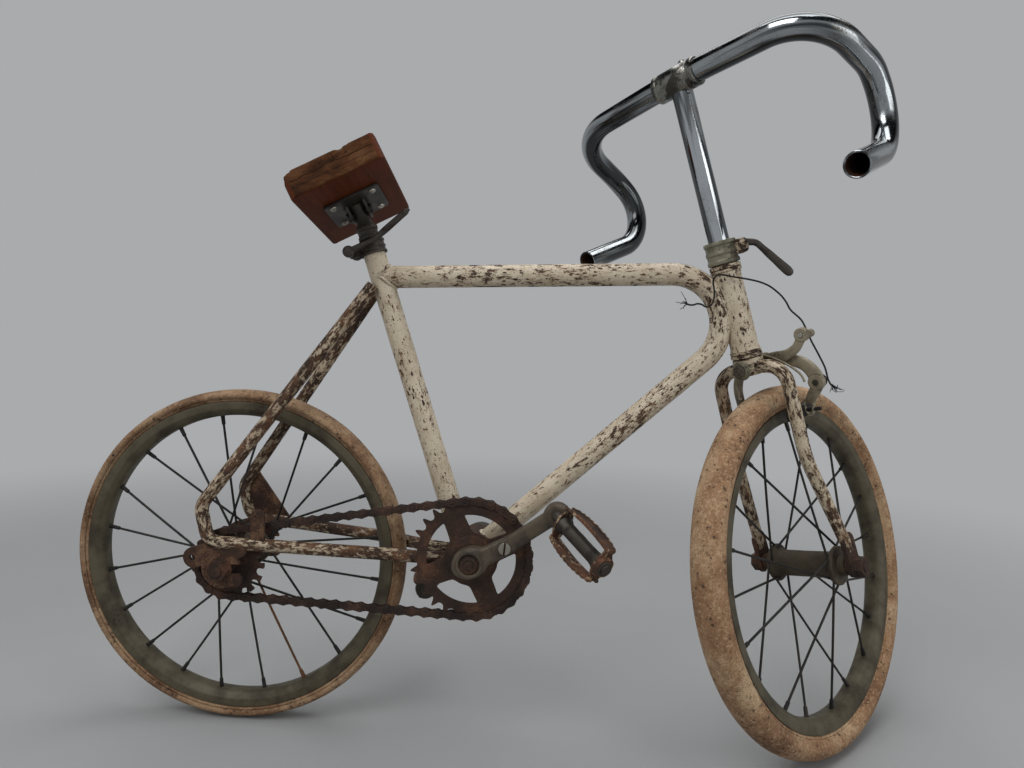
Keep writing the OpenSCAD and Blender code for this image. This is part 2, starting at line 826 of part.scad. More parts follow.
function arm_dir(angle) = [cos(angle), 0, sin(angle)];
function right_eye() = [crank_x, 0, crank_z] + crank_l * arm_dir(crank_angle) - [0, crank_boss_y + crank_flare, 0];
left_arm_angle = 180 + 47;
left_knee_angle = 180 + 36;
left_arm_l = crank_l - 11;
function left_eye() = [crank_x, 0, crank_z] + left_arm_l * arm_dir(left_arm_angle) + [0, crank_boss_y + crank_flare, 0];
function left_knee() = [crank_x, 0, crank_z] + left_arm_l * 0.52 * arm_dir(left_knee_angle)
    + [0, crank_boss_y + crank_flare * 0.45, 0];

right_knee_angle = crank_angle - 7;
function right_knee() = [crank_x, -crank_boss_y, crank_z] + 37 * arm_dir(right_knee_angle);

module at_crank_screw() {
    translate(right_knee()) rotate([90, 0, 0]) children();
}

// Flat bar from a to b, w wide, that lies in the plane of the wheel's turning
module crank_bar(a, b, w1, w2) {
    d = b - a;
    l = norm(d);
    translate(a) rotate([0, -atan2(d.z, d.x), 0]) rotate([0, 0, atan2(d.y, norm([d.x, d.z]))])
        rotate([90, 0, 0]) translate([0, 0, -crank_arm_t / 2]) linear_extrude(crank_arm_t)
            polygon([[0, -w1 / 2], [l, -w2 / 2], [l, w2 / 2], [0, w1 / 2]]);
}

module eye_boss(at) {
    translate(at) rotate([90, 0, 0]) cylinder(d = 24, h = 13, center = true);
}

module crank_right() {
    color(tarnish) stand_off() difference() {
        union() {
            translate([crank_x, -crank_boss_y + 1, crank_z]) rotate([90, 0, 0])
                cylinder(d = 31, h = 16, center = true);
            crank_bar([crank_x, -crank_boss_y, crank_z], right_knee(), 25, 21);
            translate(right_knee()) rotate([90, 0, 0]) cylinder(d = 24, h = crank_arm_t + 1, center = true);
            crank_bar(right_knee(), right_eye(), 21, 17);
            eye_boss(right_eye());
        }
        crank_core();
        at_crank_screw() cylinder(d = 6, h = 60, center = true);
        pin_core_right();
    }
}

module crank_left() {
    color(dark_rust) stand_off() difference() {
        union() {
            translate([crank_x, crank_boss_y - 1, crank_z]) rotate([90, 0, 0])
                cylinder(d = 31, h = 16, center = true);
            crank_bar([crank_x, crank_boss_y, crank_z], left_knee(), 22, 18);
            translate(left_knee()) rotate([90, 0, 0]) cylinder(d = 20, h = crank_arm_t + 1, center = true);
            crank_bar(left_knee(), left_eye(), 18, 16);
            eye_boss(left_eye());
        }
        crank_core();
        pin_core_left();
    }
}

// Axle nuts, and the screw that joins the right crank to the chainring
module crank_nuts() {
    color(dark_rust) stand_off() {
        for (side = [-1, 1]) translate([crank_x, side * (crank_boss_y + 7), crank_z])
            rotate([-90 * side, 0, 0]) difference() {
                union() {
                    cylinder(d = 22, h = 2);
                    translate([0, 0, 2]) cylinder(d = 17 / cos(30), h = 8, $fn = 6);
                }
                translate([0, 0, -1]) cylinder(d = crank_axle_d, h = 3.0);
            }
        at_crank_screw() difference() {
            union() {
                translate([0, 0, -13.5]) cylinder(d = 6, h = 21.5);
                translate([0, 0, 6.6]) cylinder(d = 12, h = 3);
            }
            translate([-1, -8, 8.2]) cube([2, 16, 3]);
        }
    }
}

// Pins screwed into the cranks, on which the pedals turn
module pedal_pins() {
    color(dark_rust) stand_off() {
        pin_core_right();
        pin_core_left();
    }
}

// ---------- pedals ----------

function right_pin_dir() = [pin_forward, -pin_out, -pin_down];
function right_pin_start() = right_eye() + [0, -11, 0];
pin_reach = pedal_l + 16;

module pin_core_right() {
    bent_bar([right_eye() + [0, 6.5, 0], right_pin_start(),
        right_pin_start() + right_pin_dir() * pin_reach], [9], pedal_pin_d);
}

function left_pin_start() = left_eye() + [0, 12, 0];

module pin_core_left() {
    rod(left_eye() - [0, 6.5, 0], left_pin_start() + [0, pin_reach, 0], pedal_pin_d);
}

// Draws a pedal with its pin along local Z, cage width along local X
module at_right_pedal() {
    along(right_pin_start(), right_pin_start() + right_pin_dir() * 10)
        rotate([0, 0, -16]) children();
}

module at_left_pedal() {
    translate(left_pin_start()) rotate([-90, 0, 0]) rotate([0, 0, -20]) children();
}

pedal_gap = 9;

module pedal_barrel() {
    difference() {
        union() {
            translate([0, 0, pedal_gap + 2]) cylinder(d = 19, h = pedal_l - 4);
            translate([0, 0, pedal_gap + pedal_l]) cylinder(d = 20, h = 9);
        }
        translate([0, 0, -1]) cylinder(d = pedal_pin_d + 2 * shaft_play, h = pin_reach + 2);
    }
}

module pedal_cage() {
    difference() {
        union() {
            for (z = [pedal_gap, pedal_gap + pedal_l - 2]) translate([0, 0, z]) linear_extrude(2)
                strap([-pedal_w / 2 + 8, 0], [pedal_w / 2 - 8, 0], 16);
            for (x = [-1, 1]) translate([x * (pedal_w / 2 - 1.25), 0, pedal_gap + pedal_l / 2])
                cube([2.5, 15, pedal_l + 4], center = true);
        }
        translate([0, 0, pedal_gap - 1]) cylinder(d = 12, h = 4);
        translate([0, 0, pedal_gap + pedal_l - 4]) cylinder(d = 12, h = 6);
    }
}

module pedal_right_cage() { color(cream) stand_off() at_right_pedal() pedal_cage(); }
module pedal_right_barrel() { color(dark_rust) stand_off() at_right_pedal() pedal_barrel(); }
module pedal_left_cage() { color(dark_rust) stand_off() at_left_pedal() pedal_cage(); }
module pedal_left_barrel() { color(dark_rust) stand_off() at_left_pedal() pedal_barrel(); }

// ---------- steering ----------

steerer_foot = -head_tube_l / 2 - cup_h;
clamp_h = 22;
clamp_z = head_tube_l / 2 + cup_h + 0.3;
blade_top_z = steerer_foot - 9;

module steerer_bar(d) {
    translate([0, 0, blade_top_z - 8]) cylinder(d = d, h = clamp_z + clamp_h - blade_top_z + 8);
}

// Steerer with the crown race's flange
module steerer_body() {
    steerer_bar(steerer_d);
    translate([0, 0, steerer_foot - 5]) cylinder(d = head_tube_d + 2, h = 4.7);
}

module steerer() {
    color(dark_rust) stand_off() steered() difference() {
        steerer_body();
        translate([0, 0, -head_tube_l / 2 + 10]) cylinder(d = stem_d, h = 200);
        brake_bolt_core();
    }
}

// One blade: out of the crown in a round shoulder, then down and forward to the axle
module blade(side) {
    difference() {
        bent_bar([
            [0, 0, blade_top_z], [-1, side * blade_y, blade_top_z - 4], [-4, side * (blade_y + 1), -150],
            [fork_rake - 1.5, side * (front_end_y), 16 - fork_drop]],
            [20, 110], blade_d);
        steerer_body();
        brake_bolt_core();
    }
}

module fork_blade_right() { color(cream) stand_off() steered() blade(-1); }
module fork_blade_left() { color(cream) stand_off() steered() blade(1); }

// Flat ends that hold the axle, coped round the blades' tips
module fork_ends() {
    color(rust) stand_off() steered() for (side = [-1, 1]) difference() {
        upright_plate(side * front_end_y, 4) difference() {
            strap([fork_rake, -fork_drop], [fork_rake - 1.5, 24 - fork_drop], 21);
            translate([fork_rake, -fork_drop]) circle(d = axle_d + 0.8);
            translate([fork_rake - axle_d / 2 - 0.1, -fork_drop - 20]) square([axle_d + 0.2, 20]);
        }
        bar_seat([[-1, side * blade_y, blade_top_z - 4], [-4, side * (blade_y + 1), -150],
            [fork_rake - 1.5, side * front_end_y, 16 - fork_drop]], [110], blade_d);
    }
}

module stem() {
    color(chrome) stand_off() steered() difference() {
        translate([0, 0, -head_tube_l / 2 + 12]) cylinder(d = stem_d, h = bar_rise + head_tube_l / 2 - 12);
        translate([-bar_back, 0, bar_rise]) rotate([90, 0, 0])
            cylinder(d = sleeve_d, h = 60, center = true);
    }
}

clamp_d = 31;
// The clamp's ears face forward in the rest position
clamp_turn = -steer_rest - 8;

module stem_clamp() {
    color(tarnish) stand_off() steered() translate([0, 0, clamp_z]) rotate([0, 0, clamp_turn]) difference() {
        union() {
            cylinder(d = clamp_d, h = clamp_h);
            for (y = [-7, 2.5]) translate([8, y, 6]) cube([17, 4.5, 14]);
            translate([19.5, 12, 13]) rotate([90, 0, 0]) cylinder(d = 6, h = 24);
        }
        translate([0, 0, -1]) cylinder(d = steerer_d, h = clamp_h + 2);
    }
}

// Round lever that hangs forward from the clamp's cross bolt
module stem_clamp_lever() {
    color(dark_rust) stand_off() steered() translate([0, 0, clamp_z]) rotate([0, 0, clamp_turn]) difference() {
        union() {
            translate([19.5, -12.3, 13]) rotate([90, 0, 0]) cylinder(d = 13, h = 8);
            bent_bar([[22, -16.3, 15], [30.4, -16.3, 12], [55, -16.3, -26.5]], [9], 6.4);
        }
    }
}

sleeve_d = bar_d + 5;

// Drop bar: out, forward round the first bend, down, and back to the open ends
module bar_path(inner) {
    right = [
        [0, 30, 0], [0, bar_half_w, -4], [bar_reach * 0.56, bar_half_w + 8, -41],
        [bar_reach, bar_half_w, 36 - bar_drop], [-3, bar_half_w + 10, -bar_drop]];
    all = concat(
        [for (i = [4:-1:0]) [right[i].x, -right[i].y, right[i].z]],
        right);
    bent_bar(all, [42, 48, 52, 200, 200, 52, 48, 42], bar_d, inner);
}

module handlebar() {
    color(chrome) stand_off() steered() translate([-bar_back, 0, bar_rise]) rotate([0, bar_tip, 0])
        bar_path(bar_d - 2 * bar_wall);
}

module handlebar_sleeve() {
    color(chrome) stand_off() steered() translate([-bar_back, 0, bar_rise]) rotate([0, bar_tip, 0]) {
        rotate([90, 0, 0]) difference() {
            cylinder(d = sleeve_d, h = 46, center = true);
            cylinder(d = bar_d + 0.3, h = 50, center = true);
        }
        translate([4, -6, sleeve_d / 2 - 1.2]) cylinder(d = 10, h = 5);
    }
}

// ---------- front brake ----------

crown_z = blade_top_z - 1;
brake_x = 24;
arm_t = 5;
shoe_drop = 54;
shoe_y = 25;

module brake_bolt_core() {
    translate([-24, 0, crown_z]) rotate([0, 90, 0]) cylinder(d = 6, h = brake_x + 42);
}

// Centre bolt through the crown, with its washers and nuts behind and in front
module brake_bolt() {
    color(dark_rust) stand_off() steered() {
        brake_bolt_core();
        translate([0, 0, crown_z]) rotate([0, 90, 0]) difference() {
            union() {
                translate([0, 0, -22.4]) cylinder(d = 12, h = 5.1, $fn = 6);
                translate([0, 0, -17.4]) cylinder(d = 15, h = 2.4);
                translate([0, 0, -15.1]) cylinder(d = 9.4, h = 3.6);
                translate([0, 0, 11.4]) cylinder(d = 9.4, h = 4);
                translate([0, 0, 15.2]) cylinder(d = 14, h = brake_x - 15.4);
                translate([0, 0, brake_x + 2 * arm_t + 0.6]) cylinder(d = 12, h = 5.5, $fn = 6);
            }
            cylinder(d = 6, h = 100, center = true);
        }
    }
}

// Draws a caliper arm flat in the plane across the fork, y to the left and z up
module caliper_plate(x, t) {
    translate([x, 0, crown_z]) rotate([90, 0, 90]) linear_extrude(t) children();
}

// Rear arm: from the left shoe over the bolt to the cable stop on the right
module brake_arm_rear() {
    color(tarnish) stand_off() steered() difference() {
        caliper_plate(brake_x, arm_t) difference() {
            union() {
                circle(d = 18);
                strap([0, 0], [30, -10], 11);
                strap([30, -10], [shoe_y + 9, -42], 10);
                strap([shoe_y + 9, -42], [shoe_y + 7.5, -shoe_drop], 9);
                strap([0, 0], [-30, 5], 10);
                strap([-30, 5], [-46, 20], 9);
                translate([-46, 20]) circle(d = 14);
                translate([-54, 20]) circle(d = 8);
            }
            circle(d = 6);
            translate([-46, 20]) circle(d = 5);
        }
        brake_shoe(1);
    }
}

// Front arm: from the bolt down past the right shoe, with the cable's anchor
module brake_arm_front() {
    color(tarnish) stand_off() steered() difference() {
        caliper_plate(brake_x + arm_t + 0.3, arm_t) difference() {
            union() {
                circle(d = 18);
                strap([0, 0], [-36, -5], 11);
                strap([-36, -5], [-47, -28], 12);
                strap([-47, -28], [-shoe_y - 10, -46], 10);
                strap([-shoe_y - 10, -46], [-shoe_y - 7.5, -shoe_drop], 9);
            }
            circle(d = 6);
            translate([-47, -28]) circle(d = 6);
        }
        brake_shoe(-1);
    }
}

// Bent wire that lies on the bolt's spacer and pushes the arms apart
module brake_spring() {
    x = brake_x - 1.4;
    color(dark_rust) stand_off() steered() bent_bar([
        [x, 36, crown_z - 36], [x, 32, crown_z - 2], [x, 0, crown_z + 10.2],
        [x, -32, crown_z - 2], [x, -40, crown_z - 30]], [8, 30, 8], 2.4);
}

// Rubber block in its holder, with the stud that passes through the arm
module brake_shoe(side) {
    x = brake_x + arm_t / 2 + (side < 0 ? arm_t + 0.3 : 0);
    translate([x, side * shoe_y, crown_z - shoe_drop]) {
        translate([-22, -5, -5.5]) cube([36, 10, 11]);
        rotate([-90 * side, 0, 0]) translate([0, 0, 4]) cylinder(d = 3.8, h = 16);
    }
}

// One shoe each side of the rim
module brake_shoes() {
    color(dark_rust) stand_off() steered() for (side = [-1, 1]) brake_shoe(side);
}

// Clamp bolt for the wire on the front arm, and the bush in the cable stop
module cable_anchor() {
    color(dark_rust) stand_off() steered() {
        translate([brake_x + arm_t - 2, -47, crown_z - 28]) rotate([0, 90, 0]) cylinder(d = 6, h = 18);
        translate([brake_x + 2 * arm_t + 0.4, -47, crown_z - 28]) rotate([0, 90, 0]) difference() {
            cylinder(d = 13, h = 6, $fn = 6);
            cylinder(d = 6, h = 20, center = true);
        }
        translate([brake_x - 2, -46, crown_z + 20]) rotate([0, 90, 0]) cylinder(d = 5, h = arm_t + 4);
    }
}

// ---------- brake wire ----------

// Where a point of the steering frame lies in the ground frame at rest
function steer_point(p) =
    let (x = p.x * cos(steer_rest) - p.y * sin(steer_rest),
         y = p.x * sin(steer_rest) + p.y * cos(steer_rest),
         a = 90 - head_angle)
    [head_x + x * cos(a) - p.z * sin(a), y, head_z + x * sin(a) + p.z * cos(a)];

// The wire's way down past the cable stop to its anchor, and its frayed end
wire_x = brake_x + arm_t + 1.6;
stop_points = [for (p = [
    [wire_x + 0.5, -46.5, crown_z + 34], [wire_x, -49.5, crown_z + 24], [wire_x + 0.5, -51.5, crown_z + 12],
    [wire_x + 3, -54, crown_z - 2], [wire_x + 5.5, -56, crown_z - 16], [wire_x + 6, -56, crown_z - 27],
    [wire_x + 6, -57.5, crown_z - 33], [wire_x + 6.5, -60.5, crown_z - 37]]) steer_point(p)];

module brake_cable() { color(black_wire) stand_off() wire(concat(loop_points, stop_points), wire_d); }

// ---------- drawing ----------

head_tube();
main_tube();
seat_tube();
bottom_bracket_shell();
bottom_bracket_cups();
rear_stay_right();
rear_stay_left();
dropout_right();
dropout_left();
headset_cups();
rear_axle();
rear_axle_nuts();
seat_post();
seat_clamp();
seat_clamp_lever();
saddle_bracket();
saddle_board();
chain_side_right();
chain_side_left();
chain_rollers();
steerer();
fork_blade_right();
fork_blade_left();
fork_ends();
front_axle();
front_axle_nuts();
stem();
stem_clamp();
stem_clamp_lever();
handlebar();
handlebar_sleeve();
brake_bolt();
brake_arm_rear();
brake_arm_front();
brake_spring();
brake_shoes();
cable_anchor();
brake_cable();
front_tyre();
front_rim();
front_spokes();
front_hub();
rear_tyre();
rear_rim();
rear_spokes();
rear_hub();
sprocket();
chainring();
crank_axle();
crank_right();
crank_left();
crank_nuts();
pedal_pins();
pedal_right_cage();
pedal_right_barrel();
pedal_left_cage();
pedal_left_barrel();
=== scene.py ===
"""Looks of a small, rusty child's bicycle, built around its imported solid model.

Lengths are written in millimetres in the bicycle's ground frame: X forward from the
rear axle, Y to the left, Z up from the floor. ``ground`` turns them into the model's
frame in metres, whose origin is the middle of the saddle's top.
"""

from __future__ import annotations

import logging
import math
import random
from dataclasses import dataclass, field
from enum import Enum
from typing import Callable, Optional, Sequence

import bpy
import numpy as np
from mathutils import Matrix, Vector, noise

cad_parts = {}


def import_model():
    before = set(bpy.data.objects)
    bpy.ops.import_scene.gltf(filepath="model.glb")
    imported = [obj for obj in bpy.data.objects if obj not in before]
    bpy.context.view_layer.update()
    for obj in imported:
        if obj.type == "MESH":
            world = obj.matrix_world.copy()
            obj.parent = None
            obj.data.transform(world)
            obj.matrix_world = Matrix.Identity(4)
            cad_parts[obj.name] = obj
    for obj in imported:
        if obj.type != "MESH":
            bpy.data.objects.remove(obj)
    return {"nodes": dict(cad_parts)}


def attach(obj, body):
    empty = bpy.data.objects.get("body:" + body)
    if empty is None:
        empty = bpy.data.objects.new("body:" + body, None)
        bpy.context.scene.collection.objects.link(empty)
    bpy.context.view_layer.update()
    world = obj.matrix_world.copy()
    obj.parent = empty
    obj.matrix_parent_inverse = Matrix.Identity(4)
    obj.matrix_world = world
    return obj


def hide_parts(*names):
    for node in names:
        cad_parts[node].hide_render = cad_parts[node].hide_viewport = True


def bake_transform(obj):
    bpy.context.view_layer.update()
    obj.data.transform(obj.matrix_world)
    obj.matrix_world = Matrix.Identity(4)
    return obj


LOG = logging.getLogger("bicycle")

SADDLE_TOP = Vector((102.442585, 2.717671, 549.000919))
HEAD = Vector((490.5, 0.0, 430.0))
HEAD_ANGLE = 74.0
STEER_REST = 45.0
CRANK = Vector((239.66513, 0.0, 184.0))
REAR_AXLE_Z = 170.0


def ground(x: float, y: float, z: float) -> Vector:
    """Return the model frame's point, in metres, for a ground point in millimetres."""
    return (Vector((x, y, z)) - SADDLE_TOP) / 1000.0


def steering_matrix() -> Matrix:
    """Return the matrix from the steering frame, in millimetres, to the model frame.

    Returns:
        The matrix.
    """
    turn = Matrix.Rotation(math.radians(STEER_REST), 4, "Z")
    lean = Matrix.Rotation(math.radians(HEAD_ANGLE - 90.0), 4, "Y")
    shift = Matrix.Translation((HEAD - SADDLE_TOP) / 1000.0)
    return shift @ Matrix.Scale(0.001, 4) @ lean @ turn


def ground_matrix() -> Matrix:
    """Return the matrix from the ground frame, in millimetres, to the model frame."""
    return Matrix.Translation(-SADDLE_TOP / 1000.0) @ Matrix.Scale(0.001, 4)


def linear(colour: str) -> tuple[float, float, float, float]:
    """Return a display colour such as ``#d8cfb8`` as linear red, green, blue, alpha.

    Args:
        colour: A hash sign and six hexadecimal digits.

    Returns:
        Four numbers for a shader socket.
    """
    parts = [int(colour[i:i + 2], 16) / 255.0 for i in (1, 3, 5)]
    wide = [p / 12.92 if p <= 0.04045 else ((p + 0.055) / 1.055) ** 2.4 for p in parts]
    return (wide[0], wide[1], wide[2], 1.0)


class Body(Enum):
    """The moving bodies of the solid model."""

    FRAME = "frame"
    STEERING = "steering"
    FRONT_WHEEL = "front_wheel"
    REAR_WHEEL = "rear_wheel"
    SPROCKET = "rear_sprocket"
    CRANKSET = "crankset"
    PEDAL_RIGHT = "pedal_right"
    PEDAL_LEFT = "pedal_left"


# ---------------------------------------------------------------- shaders


class Shader:
    """A node material under construction, with short calls for the nodes it needs."""

    def __init__(self, name: str) -> None:
        """Start an empty material.

        Args:
            name: The material's name.
        """
        self.material = bpy.data.materials.new(name)
        self.material.use_nodes = True
        self.tree = self.material.node_tree
        self.tree.nodes.clear()
        self.output = self.tree.nodes.new("ShaderNodeOutputMaterial")
        self.surface = self.tree.nodes.new("ShaderNodeBsdfPrincipled")
        self.tree.links.new(self.surface.outputs["BSDF"], self.output.inputs["Surface"])

    def link(self, source: bpy.types.NodeSocket, target: bpy.types.NodeSocket) -> None:
        """Join an output to an input."""
        self.tree.links.new(source, target)

    def place(self, target: bpy.types.NodeSocket, value: object) -> None:
        """Give an input a socket to follow or a plain value.

        Args:
            target: The input to set.
            value: A socket to follow, or a plain value.
        """
        if isinstance(value, bpy.types.NodeSocket):
            self.link(value, target)
        else:
            target.default_value = value

    def where(self, stretch: Sequence[float] = (1.0, 1.0, 1.0), attribute: str = "") -> bpy.types.NodeSocket:
        """Return the place on the piece, in metres, with each axis multiplied.

        Args:
            stretch: How much each axis is multiplied.
            attribute: A point attribute to read in place of the piece's own coordinates.

        Returns:
            A vector socket.
        """
        if attribute:
            source = self.tree.nodes.new("ShaderNodeAttribute")
            source.attribute_name = attribute
            out = source.outputs["Vector"]
        else:
            source = self.tree.nodes.new("ShaderNodeTexCoord")
            out = source.outputs["Object"]
        scale = self.tree.nodes.new("ShaderNodeMapping")
        scale.inputs["Scale"].default_value = stretch
        self.link(out, scale.inputs["Vector"])
        return scale.outputs["Vector"]

    def noise(self, place: bpy.types.NodeSocket, scale: float, detail: float = 3.0,
              roughness: float = 0.55, warp: float = 0.0) -> bpy.types.NodeSocket:
        """Return a cloudy value from 0 to 1.

        Args:
            place: Where it is read.
            scale: Its waves in a metre.
            detail: How many finer layers it has.
            roughness: How strong the finer layers are.
            warp: How far its shapes are twisted.

        Returns:
            A value socket.
        """
        node = self.tree.nodes.new("ShaderNodeTexNoise")
        node.inputs["Scale"].default_value = scale
        node.inputs["Detail"].default_value = detail
        node.inputs["Roughness"].default_value = roughness
        node.inputs["Distortion"].default_value = warp
        self.link(place, node.inputs["Vector"])
        return node.outputs["Fac"]

    def cells(self, place: bpy.types.NodeSocket, scale: float, feature: str = "F1") -> bpy.types.NodeSocket:
        """Return the distance to the nearest of scattered points, scale of them in a metre.

        Args:
            place: Where on the piece the pattern is read.
            scale: Cells in a metre.
            feature: Which measure of the cells is returned.

        Returns:
            The socket that carries the result.
        """
        node = self.tree.nodes.new("ShaderNodeTexVoronoi")
        node.feature = feature
        node.inputs["Scale"].default_value = scale
        self.link(place, node.inputs["Vector"])
        return node.outputs["Distance"]

    def axis(self, place: bpy.types.NodeSocket, name: str) -> bpy.types.NodeSocket:
        """Return one axis, ``X``, ``Y`` or ``Z``, of a place.

        Args:
            place: The place to split.
            name: The letter of the axis.

        Returns:
            The socket that carries the result.
        """
        node = self.tree.nodes.new("ShaderNodeSeparateXYZ")
        self.link(place, node.inputs["Vector"])
        return node.outputs[name]

    def step(self, value: bpy.types.NodeSocket, low: float, high: float) -> bpy.types.NodeSocket:
        """Return 0 below low and 1 above high, with a soft edge between them.

        Args:
            value: The value to compare.
            low: The lower end.
            high: The upper end.

        Returns:
            The socket that carries the result.
        """
        node = self.tree.nodes.new("ShaderNodeMapRange")
        node.interpolation_type = "SMOOTHSTEP"
        node.inputs["From Min"].default_value = low
        node.inputs["From Max"].default_value = high
        self.link(value, node.inputs["Value"])
        return node.outputs["Result"]

    def span(self, value: bpy.types.NodeSocket, low: float, high: float) -> bpy.types.NodeSocket:
        """Return a 0 to 1 value spread from low to high.

        Args:
            value: The share from 0 to 1.
            low: The lower end.
            high: The upper end.

        Returns:
            The socket that carries the result.
        """
        node = self.tree.nodes.new("ShaderNodeMapRange")
        node.inputs["To Min"].default_value = low
        node.inputs["To Max"].default_value = high
        self.link(value, node.inputs["Value"])
        return node.outputs["Result"]

    def gap(self, first: object, second: object) -> bpy.types.NodeSocket:
        """Return the first value less the second, which may be below 0.

        Args:
            first: The first value.
            second: The second value.

        Returns:
            The socket that carries the result.
        """
        node = self.tree.nodes.new("ShaderNodeMath")
        node.operation = "SUBTRACT"
        self.place(node.inputs[0], first)
        self.place(node.inputs[1], second)
        return node.outputs[0]

    def maths(self, kind: str, first: object, second: object = 0.0) -> bpy.types.NodeSocket:
        """Return one sum of two values, by the name of the operation.

        Args:
            kind: The name of the operation.
            first: The first value.
            second: The second value.

        Returns:
            The socket that carries the result.
        """
        node = self.tree.nodes.new("ShaderNodeMath")
        node.operation = kind
        node.use_clamp = kind in ("ADD", "SUBTRACT")
        self.place(node.inputs[0], first)
        self.place(node.inputs[1], second)
        return node.outputs[0]

    def blend(self, amount: object, first: object, second: object, kind: str = "MIX") -> bpy.types.NodeSocket:
        """Return a colour between two colours.

        Args:
            amount: 0 for the first, 1 for the second.
            first: A colour or a colour socket.
            second: A colour or a colour socket.
            kind: The way they are mixed.

        Returns:
            A colour socket.
        """
        node = self.tree.nodes.new("ShaderNodeMix")
        node.data_type = "RGBA"
        node.blend_type = kind
        self.place(node.inputs[0], amount)
        self.place(node.inputs[6], linear(first) if isinstance(first, str) else first)
        self.place(node.inputs[7], linear(second) if isinstance(second, str) else second)
        return node.outputs[2]

    def ramp(self, value: bpy.types.NodeSocket, stops: Sequence[tuple[float, str]]) -> bpy.types.NodeSocket:
        """Return a colour read off a row of stops.

        Args:
            value: The value that picks the colour.
            stops: Pairs of a value and its colour.

        Returns:
            The socket that carries the result.
        """
        node = self.tree.nodes.new("ShaderNodeValToRGB")
        row = node.color_ramp.elements
        while len(row) > 1:
            row.remove(row[-1])
        row[0].position, row[0].color = stops[0][0], linear(stops[0][1])
        for at, colour in stops[1:]:
            row.new(at).color = linear(colour)
        self.link(value, node.inputs["Fac"])
        return node.outputs["Color"]

    def height(self, relief: bpy.types.NodeSocket, depth: float, strength: float = 1.0,
               under: Optional[bpy.types.NodeSocket] = None) -> bpy.types.NodeSocket:
        """Return a normal that stands out by depth metres where relief is 1.

        Args:
            relief: How far out the surface stands, from 0 to 1.
            depth: The depth of the relief, in metres.
            strength: How strongly it shows.
            under: A normal that this one adds to.

        Returns:
            The socket that carries the result.
        """
        node = self.tree.nodes.new("ShaderNodeBump")
        node.inputs["Distance"].default_value = depth
        node.inputs["Strength"].default_value = strength
        self.link(relief, node.inputs["Height"])
        if under is not None:
            self.link(under, node.inputs["Normal"])
        return node.outputs["Normal"]

    def soft_edges(self, radius: float) -> bpy.types.NodeSocket:
        """Return a normal that rounds the piece's edges by radius metres.

        Args:
            radius: The edge radius, in metres.

        Returns:
            The socket that carries the result.
        """
        node = self.tree.nodes.new("ShaderNodeBevel")
        node.samples = 4
        node.inputs["Radius"].default_value = radius
        return node.outputs["Normal"]

    def finish(self, colour: object, roughness: object, metallic: object = 0.0,
               normal: Optional[bpy.types.NodeSocket] = None) -> bpy.types.Material:
        """Join the last sockets to the surface and return the material.

        Args:
            colour: The base colour.
            roughness: The roughness.
            metallic: The metallic share.
            normal: The surface normal.

        Returns:
            The material.
        """
        self.place(self.surface.inputs["Base Color"], linear(colour) if isinstance(colour, str) else colour)
        self.place(self.surface.inputs["Roughness"], roughness)
        self.place(self.surface.inputs["Metallic"], metallic)
        if normal is not None:
            self.link(normal, self.surface.inputs["Normal"])
        return self.material


@dataclass(frozen=True)
class Rust:
    """Dry rust on bare steel, from nearly black to orange brown."""

    name: str
    dark: str = "#1f1510"
    middle: str = "#38251a"
    bright: str = "#5d3d29"
    bare: str = "#48433c"
    bare_share: float = 0.0
    roughness: float = 0.82
    edge: float = 0.0006

    def colours(self, shader: Shader, place: bpy.types.NodeSocket) -> bpy.types.NodeSocket:
        """Return the rust's mottled colour.

        Args:
            shader: The material being built.
            place: Where on the piece the pattern is read.

        Returns:
            The socket that carries the result.
        """
        broad = shader.noise(place, 42.0, 5.0, 0.62)
        fine = shader.noise(place, 420.0, 4.0, 0.7)
        mixed = shader.maths("ADD", shader.maths("MULTIPLY", broad, 0.62),
                             shader.maths("MULTIPLY", fine, 0.38))
        return shader.ramp(mixed, [(0.36, self.dark), (0.5, self.middle), (0.64, self.bright)])

    def material(self) -> bpy.types.Material:
        """Return the finished material.

        Returns:
            The material.
        """
        shader = Shader(self.name)
        place = shader.where()
        colour = self.colours(shader, place)
        grain = shader.noise(place, 900.0, 4.0, 0.7)
        lumps = shader.noise(place, 160.0, 3.0, 0.6)
        relief = shader.maths("ADD", shader.maths("MULTIPLY", grain, 0.4),
                              shader.maths("MULTIPLY", lumps, 0.6))
        edges = shader.soft_edges(self.edge)
        normal = shader.height(relief, 0.0006, 0.75, edges)
        metallic: object = 0.12
        rough: object = shader.span(grain, self.roughness - 0.12, self.roughness + 0.1)
        if self.bare_share > 0.0:
            worn = shader.step(shader.noise(place, 58.0, 4.0, 0.6), 0.62 - self.bare_share,
                               0.7 - self.bare_share)
            shade = shader.blend(shader.noise(place, 260.0, 3.0), self.bare, self.middle)
            colour = shader.blend(worn, colour, shader.blend(0.75, shade, self.bare))
            metallic = shader.span(worn, 0.12, 0.6)
            rough = shader.span(worn, self.roughness, 0.46)
        return shader.finish(colour, rough, metallic, normal)


